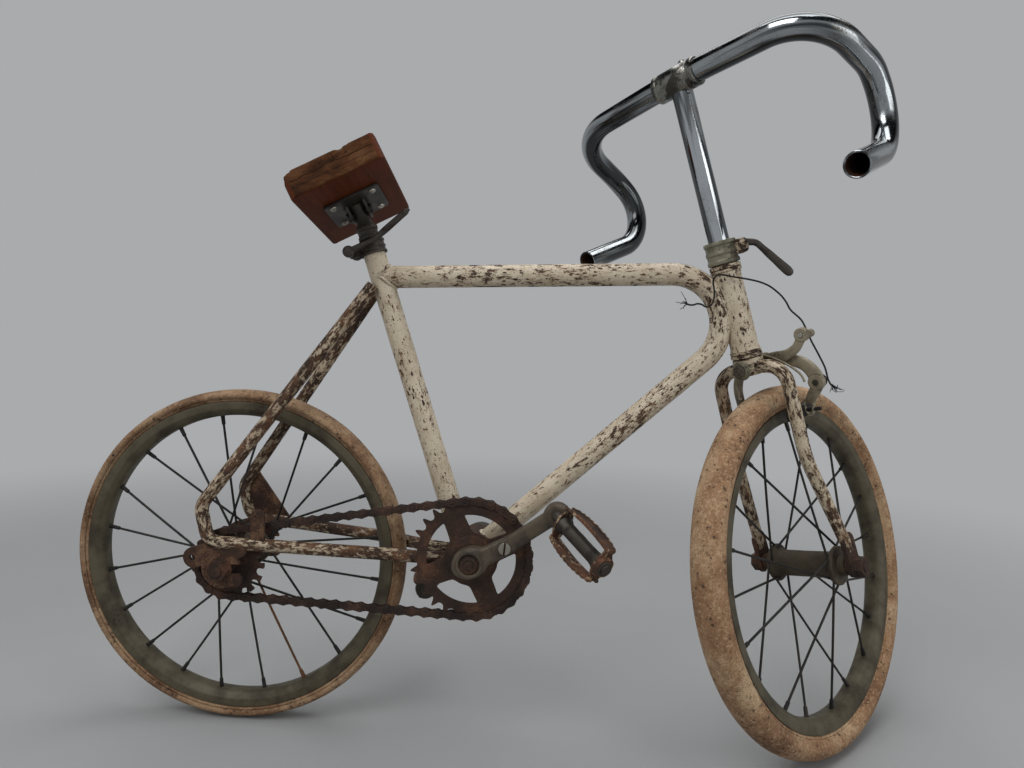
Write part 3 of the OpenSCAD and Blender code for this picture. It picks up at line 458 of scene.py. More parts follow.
@dataclass(frozen=True)
class ChippedPaint:
    """Old gloss paint, pitted and flaked down to rust, with rust that has run."""

    name: str
    paint: str = "#c4b7a1"
    stained: str = "#978469"
    rust: Rust = Rust("paint_rust", "#20150f", "#3b281b", "#6b4a32")
    pits: float = 1.0
    flakes: float = 1.0
    grime: float = 0.5
    along: str = "along"

    def material(self) -> bpy.types.Material:
        """Return the finished material.

        Returns:
            The material.
        """
        shader = Shader(self.name)
        place = shader.where(attribute=self.along)
        long = shader.where((0.45, 1.0, 1.0), self.along)
        cloud = shader.noise(place, 13.0, 3.0, 0.6)
        shift = shader.maths("MULTIPLY", shader.maths("SUBTRACT", cloud, 0.36), 0.4)
        # Pits: small round spots of three sizes, thinned out by the broad cloud
        wander = shader.maths("MULTIPLY", shader.noise(place, 700.0, 4.0, 0.7), 0.34)
        reach = shader.maths("ADD", shader.maths("MULTIPLY", shift, 1.1), 0.265 + 0.05 * self.pits)
        spots: bpy.types.NodeSocket = shader.step(
            shader.maths("SUBTRACT", reach, shader.maths("ADD", shader.cells(place, 420.0), wander)), 0.0,
                                                  0.03)
        for scale, less in ((230.0, 0.015), (120.0, 0.06)):
            apart = shader.maths("ADD", shader.cells(long, scale), shader.maths("ADD", wander, less))
            spots = shader.maths("MAXIMUM", spots,
                                 shader.step(shader.maths("SUBTRACT", reach, apart), 0.0, 0.02))
        # Flakes: torn shapes that run along the tube
        torn = shader.noise(long, 200.0, 10.0, 0.78, 0.3)
        level = shader.maths("ADD", torn, shader.maths("MULTIPLY", shift, 0.6))
        edge = 0.69 - 0.045 * self.flakes
        flakes = shader.step(level, edge, edge + 0.008)
        halo = shader.step(level, edge - 0.07, edge + 0.01)
        bare = shader.maths("MAXIMUM", spots, flakes)
        # Paint: grime, rust stains round the flakes and fine specks
        dirt = shader.noise(place, 34.0, 6.0, 0.7)
        fine = shader.noise(place, 820.0, 4.0, 0.75)
        paint = shader.blend(shader.maths("MULTIPLY", shader.step(dirt, 0.38, 0.72), self.grime),
                             self.paint, self.stained)
        paint = shader.blend(shader.maths("MULTIPLY", halo, 0.6), paint, "#7a5a3c")
        specks = shader.step(fine, 0.575, 0.65)
        paint = shader.blend(shader.maths("MULTIPLY", specks, 0.6), paint, "#5b4733")
        rusty = self.rust.colours(shader, place)
        colour = shader.blend(bare, paint, rusty)
        rough = shader.span(bare, 0.46, 0.88)
        relief = shader.maths("ADD", shader.maths("MULTIPLY", shader.maths("SUBTRACT", 1.0, bare), 0.8),
                              shader.maths("MULTIPLY", shader.noise(place, 600.0, 3.0, 0.6), 0.16))
        normal = shader.height(relief, 0.0004, 0.9)
        return shader.finish(colour, rough, 0.0, normal)


@dataclass(frozen=True)
class Chrome:
    """Old chrome plate with dark streaks along the tube, partly tarnish and partly painted reflection of a dark room,
    and pitted with rust.
    """

    name: str
    tint: str = "#a5aaad"
    tarnish_and_reflection: str = "#17191b"
    pit: str = "#2b2019"
    pits: float = 0.5
    roughness: float = 0.13
    along: str = "along"

    def material(self) -> bpy.types.Material:
        """Return the finished material.

        Returns:
            The material.
        """
        shader = Shader(self.name)
        place = shader.where(attribute=self.along)
        long = shader.where((0.07, 1.0, 1.0), self.along)
        tarnish_reflection_streak = shader.noise(long, 78.0, 3.0, 0.55, 0.2)
        cloud = shader.noise(place, 26.0, 4.0, 0.65)
        fine = shader.noise(place, 900.0, 3.0, 0.7)
        # The dark streaks are partly tarnish and partly painted reflection: dark bands that stand in for the mirrored
        # room.
        worn = shader.step(tarnish_reflection_streak, 0.43, 0.55)
        stain = shader.step(cloud, 0.5, 0.75)
        plate = shader.blend(shader.maths("MULTIPLY", worn, 0.85), self.tint, self.tarnish_and_reflection)
        plate = shader.blend(shader.maths("MULTIPLY", stain, 0.3), plate, "#6d675a")
        pitted = shader.maths("MULTIPLY", fine, shader.span(cloud, 0.5, 1.3))
        pits = shader.step(pitted, 0.6 - 0.08 * self.pits, 0.68 - 0.08 * self.pits)
        colour = shader.blend(shader.maths("MULTIPLY", pits, 0.85), plate, self.pit)
        rough = shader.maths("ADD",
                             shader.maths("ADD", self.roughness, shader.maths("MULTIPLY", stain, 0.14)),
                             shader.maths("MULTIPLY", pits, 0.4))
        metal = shader.span(pits, 1.0, 0.35)
        normal = shader.height(shader.noise(place, 240.0, 2.0, 0.5), 0.00008, 0.6)
        return shader.finish(colour, rough, metal, normal)


@dataclass(frozen=True)
class DryRubber:
    """Tan tyre rubber, dried out, blotched brown and pale with dark specks."""

    name: str
    base: str = "#947253"
    brown: str = "#6f4f35"
    pale: str = "#baa07f"

    def material(self) -> bpy.types.Material:
        """Return the finished material.

        Returns:
            The material.
        """
        shader = Shader(self.name)
        place = shader.where()
        broad = shader.noise(place, 14.0, 5.0, 0.62, 0.4)
        middle = shader.noise(place, 95.0, 5.0, 0.7)
        fine = shader.noise(place, 640.0, 4.0, 0.75)
        colour = shader.ramp(broad, [(0.34, self.brown), (0.48, self.base), (0.64, self.pale)])
        colour = shader.blend(shader.maths("MULTIPLY", shader.step(middle, 0.46, 0.64), 0.5), colour,
                              self.brown)
        colour = shader.blend(shader.maths("MULTIPLY", shader.step(fine, 0.5, 0.6), 0.6), colour, "#5c3f2a")
        pale = shader.step(shader.noise(place, 300.0, 4.0, 0.72), 0.52, 0.62)
        colour = shader.blend(shader.maths("MULTIPLY", pale, 0.5), colour, self.pale)
        dots = shader.step(shader.maths("SUBTRACT", 0.33, shader.cells(place, 190.0)), 0.0, 0.12)
        dots = shader.maths("MULTIPLY", dots, shader.step(middle, 0.47, 0.56))
        colour = shader.blend(shader.maths("MULTIPLY", dots, 0.8), colour, "#2a1d16")
        relief = shader.maths("ADD", shader.maths("MULTIPLY", middle, 0.5),
                              shader.maths("MULTIPLY", fine, 0.5))
        normal = shader.height(relief, 0.0008, 0.8)
        return shader.finish(colour, shader.span(middle, 0.78, 0.95), 0.0, normal)


@dataclass(frozen=True)
class DullMetal:
    """Tarnished plate or alloy with stains, scratches and a little rust."""

    name: str
    tint: str = "#6b6b60"
    stain: str = "#46443c"
    rust: str = "#5b3c28"
    rust_share: float = 0.3
    metallic: float = 0.55
    roughness: float = 0.5
    edge: float = 0.0005

    def material(self) -> bpy.types.Material:
        """Return the finished material.

        Returns:
            The material.
        """
        shader = Shader(self.name)
        place = shader.where()
        broad = shader.noise(place, 36.0, 5.0, 0.62)
        fine = shader.noise(place, 520.0, 4.0, 0.7)
        colour = shader.blend(shader.step(broad, 0.36, 0.66), self.tint, self.stain)
        spots = shader.maths("ADD", shader.maths("MULTIPLY", broad, 0.45),
                             shader.maths("MULTIPLY", fine, 0.55))
        rusty = shader.step(spots, 0.66 - 0.14 * self.rust_share, 0.72 - 0.14 * self.rust_share)
        colour = shader.blend(rusty, colour, shader.blend(fine, self.rust, "#2f2019"))
        rough = shader.maths("ADD", shader.span(broad, self.roughness - 0.08, self.roughness + 0.14),
                             shader.maths("MULTIPLY", rusty, 0.3))
        metal = shader.span(rusty, self.metallic, 0.08)
        normal = shader.height(fine, 0.0004, 0.5, shader.soft_edges(self.edge))
        return shader.finish(colour, rough, metal, normal)


@dataclass(frozen=True)
class Timber:
    """Old red-brown board: stained faces with grain, and dry, split end grain."""

    name: str
    face: str = "#52250e"
    face_dark: str = "#2a1208"
    face_light: str = "#6e3615"
    end: str = "#4f311c"
    end_dark: str = "#2d1a0f"
    end_light: str = "#6a4b32"

    def crack(self, shader: Shader, height: float, wander: float, width: float,
              seed: float) -> bpy.types.NodeSocket:
        """Return 1 along a thin wavy crack that runs round the board.

        Args:
            shader: The material under construction.
            height: How far above the underside it runs, in metres.
            wander: How far it strays from that height.
            width: Half its width.
            seed: Which of many shapes it takes.

        Returns:
            A value socket.
        """
        place = shader.where(attribute="along")
        flat = shader.where((1.0, 1.0, 0.0), "along")
        bend = shader.noise(flat, 22.0 + seed, 5.0, 0.6)
        level = shader.maths("ADD", height - wander / 2.0, shader.maths("MULTIPLY", bend, wander))
        away = shader.maths("ABSOLUTE", shader.gap(shader.axis(place, "Z"), level))
        return shader.maths("SUBTRACT", 1.0, shader.step(away, width * 0.5, width * 1.5))

    def material(self) -> bpy.types.Material:
        """Return the finished material; its attribute ``raw`` is 1 on bare, broken wood.

        Returns:
            The material.
        """
        shader = Shader(self.name)
        place = shader.where(attribute="along")
        grain_place = shader.where((6.0, 0.5, 5.0), "along")
        raw_node = shader.tree.nodes.new("ShaderNodeAttribute")
        raw_node.attribute_name = "raw"
        raw = raw_node.outputs["Fac"]
        grain = shader.noise(grain_place, 26.0, 6.0, 0.62, 0.5)
        pores = shader.noise(grain_place, 210.0, 4.0, 0.7)
        face = shader.ramp(grain, [(0.32, self.face_dark), (0.5, self.face), (0.68, self.face_light)])
        smooth = shader.noise(place, 14.0, 3.0, 0.5)
        face = shader.blend(shader.span(smooth, 0.5, 0.9), face, self.face)
        face = shader.blend(shader.maths("MULTIPLY", shader.step(pores, 0.58, 0.66), 0.4), face,
                            self.face_dark)
        # End grain: soft bands, short slanting splits and two long cracks
        bands = shader.noise(shader.where((1.0, 0.2, 2.4), "along"), 30.0, 5.0, 0.6, 0.6)
        fibre = shader.noise(place, 460.0, 4.0, 0.7)
        slant = shader.noise(shader.where((3.2, 0.2, 0.8), "along"), 60.0, 4.0, 0.6, 0.4)
        end = shader.ramp(bands, [(0.34, self.end_dark), (0.5, self.end), (0.68, self.end_light)])
        end = shader.blend(shader.maths("MULTIPLY", shader.step(fibre, 0.5, 0.66), 0.35), end, self.end_dark)
        upper = shader.step(shader.axis(place, "Z"), 0.0155, 0.0175)
        split = shader.maths("MULTIPLY", shader.step(slant, 0.56, 0.6), upper)
        end = shader.blend(shader.maths("MULTIPLY", split, 0.6), end, "#150d09")
        long_cracks = shader.maths("MAXIMUM", self.crack(shader, 0.0155, 0.014, 0.0004, 0.0),
                                   self.crack(shader, 0.0085, 0.004, 0.00022, 5.0))
        end = shader.blend(shader.maths("MULTIPLY", long_cracks, 0.9), end, "#0f0906")
        colour = shader.blend(raw, face, end)
        dirt = shader.noise(place, 30.0, 4.0, 0.6)
        colour = shader.blend(shader.maths("MULTIPLY", shader.step(dirt, 0.5, 0.8), 0.4), colour, "#1c110c")
        relief = shader.blend(raw, grain,
                              shader.maths("SUBTRACT", bands, shader.maths("MULTIPLY", split, 0.6)))
        normal = shader.height(relief, 0.0009, 0.7)
        shader.surface.inputs["Specular IOR Level"].default_value = 0.12
        return shader.finish(colour, shader.span(raw, 0.6, 0.9), 0.0, normal)


class Finishes:
    """Every material of the bicycle, made once."""

    def __init__(self) -> None:
        """Make the materials."""
        warm = Rust("rust_warm", "#281a13", "#472e20", "#74492e")
        self.paint = ChippedPaint("cream_paint", pits=0.7, flakes=2.0).material()
        self.paint_spotted = ChippedPaint("cream_paint_spotted", pits=1.25, flakes=1.6).material()
        self.paint_worn = ChippedPaint("cream_paint_worn", "#b5a78f", "#7d6248", pits=1.3, flakes=3.9,
                                       grime=0.8).material()
        self.paint_fork = ChippedPaint("cream_paint_fork", "#b9ac94", "#84694c", pits=1.3, flakes=3.1,
                                       grime=0.8).material()
        self.paint_solid = ChippedPaint("cream_paint_crown", "#b2a58d", "#7a644a", pits=1.2, flakes=3.0,
                                        grime=0.9, along="").material()
        self.paint_pedal = ChippedPaint("pedal_paint", "#b5a184", "#855f3b", warm, 1.4, 4.6, 1.0).material()
        self.rust = Rust("brown_rust").material()
        self.rust_chain = Rust("chain_rust", "#180f0c", "#2c1d16", "#4d3325").material()
        self.rust_warm = warm.material()
        self.rust_plate = Rust("dropout_rust", "#1f120c", "#3f281b", "#77583f").material()
        self.dark_steel = Rust("dark_steel", "#17120f", "#2a221c", "#46362b", "#46413b", 0.22).material()
        self.grey_steel = DullMetal("grey_steel", "#5d5345", "#3a3229", "#35251b", 0.6, 0.35, 0.48,
                                    0.001).material()
        self.tarnish = DullMetal("tarnished_rim", "#5a5341", "#3d3729", "#35261a", 0.6, 0.3, 0.52).material()
        self.collar = DullMetal("collar_metal", "#86826f", "#4f4a3d", "#33241a", 0.9, 0.4, 0.4,
                                0.001).material()
        self.alloy = DullMetal("brake_alloy", "#948b77", "#645b49", "#3a2c20", 0.55, 0.25, 0.46,
                               0.001).material()
        self.plate = DullMetal("saddle_plate", "#3c3731", "#241f1b", "#33211a", 0.55, 0.5, 0.42).material()
        self.hub = DullMetal("hub_metal", "#4a4030", "#352c20", "#2d1e14", 0.5, 0.25, 0.62, 0.001).material()
        self.bright = DullMetal("bright_screw", "#b3afa5", "#8a847a", "#4b3526", 0.1, 0.85, 0.3).material()
        # Each chrome's third colour is its dark streaks: partly tarnish, partly painted reflection.
        self.chrome = Chrome("pitted_chrome").material()
        self.chrome_stem = Chrome("stem_chrome", "#c2c7cb", "#2b2e30", roughness=0.1).material()
        self.chrome_worn = Chrome("worn_chrome", "#8b8a84", "#34332f", pits=1.1, roughness=0.24).material()
        self.tube_inside = Rust("tube_inside", "#1a100c", "#3d2417", "#643a24").material()
        self.rubber = DryRubber("tan_tyre", "#7d5f44", "#5a3f2a", "#a3896b").material()
        self.rubber_front = DryRubber("tan_tyre_front").material()
        self.spoke = DullMetal("dark_spoke", "#2b2823", "#1a1815", "#35241a", 0.2, 0.4, 0.5).material()
        self.spoke_tan = DullMetal("rusty_spoke", "#6d4a2e", "#513522", "#7c5230", 0.9, 0.1, 0.8).material()
        self.wire = DullMetal("brake_wire", "#1f1c18", "#12100e", "#33241a", 0.25, 0.4, 0.55).material()
        self.wire_pale = DullMetal("pale_wire", "#a8a08c", "#746c59", "#3d2c1f", 0.4, 0.6, 0.42).material()
        self.block = Rust("shoe_rubber", "#110e0d", "#1d1815", "#30261f", roughness=0.75).material()
        self.wood = Timber("red_brown_board").material()


# ---------------------------------------------------------------- mesh making


@dataclass
class Mesh:
    """A mesh under construction, with one along-the-piece coordinate for its finish."""

    points: list[Vector] = field(default_factory=list)
    faces: list[tuple[int, ...]] = field(default_factory=list)
    along: list[tuple[float, float, float]] = field(default_factory=list)
    slots: list[int] = field(default_factory=list)

    def add(self, points: Sequence[Vector], faces: Sequence[Sequence[int]],
            along: Optional[Sequence[Sequence[float]]] = None, slot: int = 0) -> None:
        """Append points and faces, the faces numbered from this call's first point.

        Args:
            points: The new points.
            faces: The new faces.
            along: The finish's coordinate at each point, in metres.
            slot: The material slot of the faces.
        """
        base = len(self.points)
        self.points.extend(Vector(p) for p in points)
        self.faces.extend(tuple(i + base for i in f) for f in faces)
        self.along.extend(tuple(a) for a in (along if along is not None else [p * 0.001 for p in map(Vector, points)]))
        self.slots.extend([slot] * len(faces))

    def build(self, name: str, body: Body, materials: Sequence[bpy.types.Material], matrix: Matrix,
              replaces: Sequence[str] = (), slot: str = "", smooth: float = 40.0) -> bpy.types.Object:
        """Args:
            name: The piece's name.
            body: The body it moves with.
            materials: Its material slots.
            matrix: From the mesh's millimetres to the model frame.
            replaces: The solid nodes that it stands for.
            slot: The record's material slot; not used.
            smooth: Edges flatter than this many degrees are shaded smooth.

        Returns:
            The new object.
        """
        mesh = bpy.data.meshes.new(name)
        placed = [matrix @ p for p in self.points]
        mesh.from_pydata([tuple(p) for p in placed], [], self.faces)
        mesh.validate()
        data = mesh.attributes.new("along", "FLOAT_VECTOR", "POINT")
        data.data.foreach_set("vector", np.array(self.along, dtype=np.float32).ravel())
        for material in materials:
            mesh.materials.append(material)
        if len(self.slots) == len(mesh.polygons):
            mesh.polygons.foreach_set("material_index", self.slots)
        mesh.polygons.foreach_set("use_smooth", [True] * len(mesh.polygons))
        mesh.set_sharp_from_angle(angle=math.radians(smooth))
        mesh.update()
        piece = bpy.data.objects.new(name, mesh)
        bpy.context.scene.collection.objects.link(piece)
        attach(piece, body.value)
        if replaces:
            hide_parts(*replaces)
        return piece


def smooth_path(corners: Sequence[Vector], radii: Sequence[float], pitch: float = 6.0) -> list[Vector]:
    """Return closely spaced points along a line with rounded corners.

    Args:
        corners: The line's corners.
        radii: The radius at each inner corner.
        pitch: The greatest spacing of the points.

    Returns:
        The points, with more of them round the corners.
    """
    path: list[Vector] = [Vector(corners[0])]
    for i in range(1, len(corners) - 1):
        here = Vector(corners[i])
        back = (Vector(corners[i - 1]) - here).normalized()
        ahead = (Vector(corners[i + 1]) - here).normalized()
        half = back.angle(ahead) / 2.0
        cut = radii[i - 1] / math.tan(half)
        centre = here + (back + ahead).normalized() * radii[i - 1] / math.sin(half)
        start = here + back * cut
        arm = start - centre
        axis = back.cross(ahead).normalized()
        sweep = math.pi - 2.0 * half
        count = max(3, int(sweep * radii[i - 1] / 2.5))
        for k in range(count + 1):
            path.append(centre + Matrix.Rotation(-sweep * k / count, 3, axis) @ arm)
    path.append(Vector(corners[-1]))
    full: list[Vector] = []
    for a, b in zip(path, path[1:]):
        count = max(1, int(math.ceil((b - a).length / pitch)))
        full.extend(a.lerp(b, k / count) for k in range(count))
    full.append(path[-1])
    clean = [full[0]]
    for point in full[1:]:
        if (point - clean[-1]).length > 0.05:
            clean.append(point)
    return clean


def frames(path: Sequence[Vector], up: Vector) -> list[tuple[Vector, Vector, Vector]]:
    """Return the direction and two cross directions at each point, turned as little as possible.

    Args:
        path: The points of the line.
        up: Which way the first cross direction is turned from.

    Returns:
        One set of three directions for each point.
    """
    out: list[tuple[Vector, Vector, Vector]] = []
    side: Optional[Vector] = None
    for i in range(len(path)):
        ahead = (path[min(i + 1, len(path) - 1)] - path[max(i - 1, 0)]).normalized()
        if side is None:
            side = up.cross(ahead)
            if side.length < 1e-6:
                side = Vector((1, 0, 0)).cross(ahead)
        side = (side - ahead * side.dot(ahead)).normalized()
        out.append((ahead, side, ahead.cross(side)))
    return out


Profile = Callable[[float, float], tuple[float, float]]


def sweep(mesh: Mesh, path: Sequence[Vector], size: Callable[[float], tuple[float, float]], sides: int = 28,
          power: float = 2.0, rough: float = 0.0, seed: float = 0.0, caps: bool = True, slot: int = 0,
          up: Vector = Vector((0, 1, 0)), inward: bool = False) -> None:
    """Add a bar with a round or squared section along a path.

    Args:
        mesh: Where the bar is added.
        path: Its centre line, in millimetres.
        size: Half width and half height for a share of the length from 0 to 1.
        sides: Points round the section.
        power: 2 for a round section, more for a squarer one.
        rough: How far the surface wanders, in millimetres.
        seed: Shifts the wandering and the finish.
        caps: True to close the ends.
        slot: The material slot.
        up: Which way the section's width is turned from.
        inward: True for the inside of a tube.
    """
    points: list[Vector] = []
    along: list[tuple[float, float, float]] = []
    lengths = [0.0]
    for a, b in zip(path, path[1:]):
        lengths.append(lengths[-1] + (b - a).length)
    total = lengths[-1]
    for i, (ahead, side, over) in enumerate(frames(path, up)):
        wide, tall = size(lengths[i] / total)
        for k in range(sides):
            turn = 2.0 * math.pi * k / sides
            c, s = math.cos(turn), math.sin(turn)
            x = math.copysign(abs(c) ** (2.0 / power), c) * wide
            y = math.copysign(abs(s) ** (2.0 / power), s) * tall
            place = path[i] + side * x + over * y
            if rough > 0.0:
                wave = noise.noise(place * 0.035 + Vector((seed, 0, 0))) + 0.5 * noise.noise(place * 0.11)
                place = place + (side * x + over * y).normalized() * wave * rough
            points.append(place)
            along.append((lengths[i] * 0.001 + seed, x * 0.001 + seed * 0.37, y * 0.001))
    faces: list[tuple[int, ...]] = []
    for i in range(len(path) - 1):
        for k in range(sides):
            a, b = i * sides + k, i * sides + (k + 1) % sides
            faces.append((a, a + sides, b + sides, b) if inward else (a, b, b + sides, a + sides))
    if caps:
        faces.append(tuple(range(sides - 1, -1, -1)))
        faces.append(tuple((len(path) - 1) * sides + k for k in range(sides)))
    mesh.add(points, faces, along, slot)


def lathe(mesh: Mesh, outline: Sequence[tuple[float, float]], centre: Vector, axis: Vector, count: int = 48,
          closed: bool = False, slot: int = 0, wander: float = 0.0, start: Optional[Vector] = None) -> None:
    """Add a turned shape.

    Args:
        mesh: Where it is added.
        outline: Pairs of radius and distance along the axis.
        centre: A point on the axis.
        axis: The axis.
        count: Steps round the axis.
        closed: True if the outline is a closed ring.
        slot: The material slot.
        wander: How far the surface wanders, in millimetres.
        start: A direction at which the steps start.
    """
    axis = axis.normalized()
    side = start if start is not None else axis.orthogonal()
    side = (side - axis * side.dot(axis)).normalized()
    over = axis.cross(side)
    points: list[Vector] = []
    for k in range(count):
        turn = 2.0 * math.pi * k / count
        out = side * math.cos(turn) + over * math.sin(turn)
        for radius, reach in outline:
            place = centre + axis * reach + out * radius
            if wander > 0.0:
                wave = noise.noise(place * 0.02) + 0.6 * noise.noise(place * 0.07)
                place = place + out * wave * wander
            points.append(place)
    n = len(outline)
    faces: list[tuple[int, ...]] = []
    for k in range(count):
        for i in range(n if closed else n - 1):
            a, b = k * n + i, k * n + (i + 1) % n
            c, d = ((k + 1) % count) * n + (i + 1) % n, ((k + 1) % count) * n + i
            faces.append((a, b, c, d))
    mesh.add(points, faces, None, slot)


def rounded(points: Sequence[tuple[float, float]], radius: float,
            steps: int = 3) -> list[tuple[float, float]]:
    """Return a closed outline with its corners rounded.

    Args:
        points: The corners, in order.
        radius: The corner radius, in millimetres.
        steps: Steps round each corner.

    Returns:
        The outline.
    """
    out: list[tuple[float, float]] = []
    n = len(points)
    for i in range(n):
        here = Vector(points[i]).to_3d()
        back = Vector(points[i - 1]).to_3d() - here
        ahead = Vector(points[(i + 1) % n]).to_3d() - here
        cut = min(radius, back.length * 0.45, ahead.length * 0.45)
        a, b = here + back.normalized() * cut, here + ahead.normalized() * cut
        for k in range(steps + 1):
            t = k / steps
            p = a.lerp(here, t).lerp(here.lerp(b, t), t)
            out.append((p.x, p.y))
    return out


def plate(mesh: Mesh, loops: Sequence[Sequence[tuple[float, float]]], origin: Vector, right: Vector,
          up: Vector,
          thick: float, edge: float = 0.4, slot: int = 0) -> None:
    """Add a flat plate cut to an outline, with holes and rounded edges.

    Args:
        mesh: Where the plate is added.
        loops: The closed outline, then its holes, in the plate's plane.
        origin: The outline's origin on the plate's middle plane.
        right: The outline's first direction.
        up: The outline's second direction.
        thick: The plate's thickness.
        edge: The radius of its edges.
        slot: The material slot.
    """
    curve = bpy.data.curves.new("plate_outline", "CURVE")
    curve.dimensions = "2D"
    curve.fill_mode = "BOTH"
    curve.extrude = thick / 2.0 - edge
    curve.bevel_depth = edge
    curve.bevel_resolution = 1
    curve.offset = -edge
    for loop in loops:
        spline = curve.splines.new("POLY")
        spline.points.add(len(loop) - 1)
        for knot, (x, y) in zip(spline.points, loop):
            knot.co = (x, y, 0.0, 1.0)
        spline.use_cyclic_u = True
    holder = bpy.data.objects.new("plate_outline", curve)
    made = bpy.data.meshes.new_from_object(holder)
    normal = right.cross(up).normalized()
    points = [origin + right * v.co.x + up * v.co.y + normal * v.co.z for v in made.vertices]
    mesh.add(points, [tuple(face.vertices) for face in made.polygons], None, slot)
    bpy.data.objects.remove(holder)
    bpy.data.curves.remove(curve)
    bpy.data.meshes.remove(made)


def circle(x: float, y: float, radius: float, steps: int = 28) -> list[tuple[float, float]]:
    """Return a round outline."""
    turns = [2.0 * math.pi * k / steps for k in range(steps)]
    return [(x + radius * math.cos(t), y + radius * math.sin(t)) for t in turns]


def through(knots: Sequence[Vector], steps: int = 6) -> list[Vector]:
    """Return a smooth line through every knot, with a number of steps between two knots.

    Args:
        knots: The points the line runs through.
        steps: Steps from one knot to the next.

    Returns:
        The points, in millimetres.
    """
    fine: list[Vector] = []
    for i in range(len(knots) - 1):
        a, b = knots[max(i - 1, 0)], knots[i]
        c, d = knots[i + 1], knots[min(i + 2, len(knots) - 1)]
        for k in range(steps):
            t = k / steps
            fine.append(0.5 * ((2 * b) + (c - a) * t + (2 * a - 5 * b + 4 * c - d) * t * t
                               + (3 * b - a - 3 * c + d) * t ** 3))
    fine.append(Vector(knots[-1]))
    return fine


def read_off(stops: Sequence[tuple[float, float]], at: float) -> float:
    """Return the value at a share of the length, eased between the stops on its two sides.

    Args:
        stops: Pairs of a share of the length and the value there, in order.
        at: The share of the length, in the same measure as the stops.

    Returns:
        The value.
    """
    for (a, low), (b, high) in zip(stops, stops[1:]):
        if at <= b:
            t = min(1.0, max(0.0, (at - a) / (b - a)))
            return low + (high - low) * t * t * (3.0 - 2.0 * t)
    return stops[-1][1]


def link_plate(mesh: Mesh, outline: Sequence[tuple[float, float]], origin: Vector, right: Vector, up: Vector,
               thick: float, edge: float) -> None:
    """Add a small plate with softened edges and few faces.

    Args:
        mesh: Where the plate is added.
        outline: The closed outline, anticlockwise, in the plate's plane.
        origin: The outline's origin on the plate's middle plane.
        right: The outline's first direction.
        up: The outline's second direction.
        thick: The plate's thickness.
        edge: How far the edges are softened.
    """
    normal = right.cross(up).normalized()
    n = len(outline)
    points: list[Vector] = []
    for level, inset in ((-0.5, edge), (-0.5 + edge / thick, 0.0), (0.5 - edge / thick, 0.0), (0.5, edge)):
        for i, point in enumerate(outline):
            run = (Vector(outline[(i + 1) % n]) - Vector(outline[i - 1])).normalized()
            flat = Vector(point) + Vector((-run.y, run.x)) * inset
            points.append(origin + right * flat.x + up * flat.y + normal * thick * level)
    faces: list[tuple[int, ...]] = [tuple(range(n - 1, -1, -1)), tuple(range(3 * n, 4 * n))]
    for level in range(3):
        for i in range(n):
            j = (i + 1) % n
            faces.append((level * n + i, level * n + j, level * n + n + j, level * n + n + i))
    mesh.add(points, faces, None, 0)


def bolt_head(mesh: Mesh, centre: Vector, axis: Vector, across: float, tall: float, sides: int = 6,
              slot: int = 0) -> None:
    """Add a six-sided nut or a round head with softened corners.

    Args:
        mesh: Where the shape is added.
        centre: The middle of its foot.
        axis: The direction it stands in.
        across: Its width across flats, in millimetres.
        tall: Its height, in millimetres.
        sides: Sides round it.
        slot: The material slot.
    """
    radius = across / 2.0 / (math.cos(math.pi / sides) if sides <= 8 else 1.0)
    outline = [(0.01, 0.0), (radius * 0.97, 0.0), (radius, tall * 0.1), (radius, tall * 0.78),
               (radius * 0.9, tall), (0.01, tall)]
    lathe(mesh, outline, centre, axis, sides, slot=slot)


# ---------------------------------------------------------------- sub-assemblies


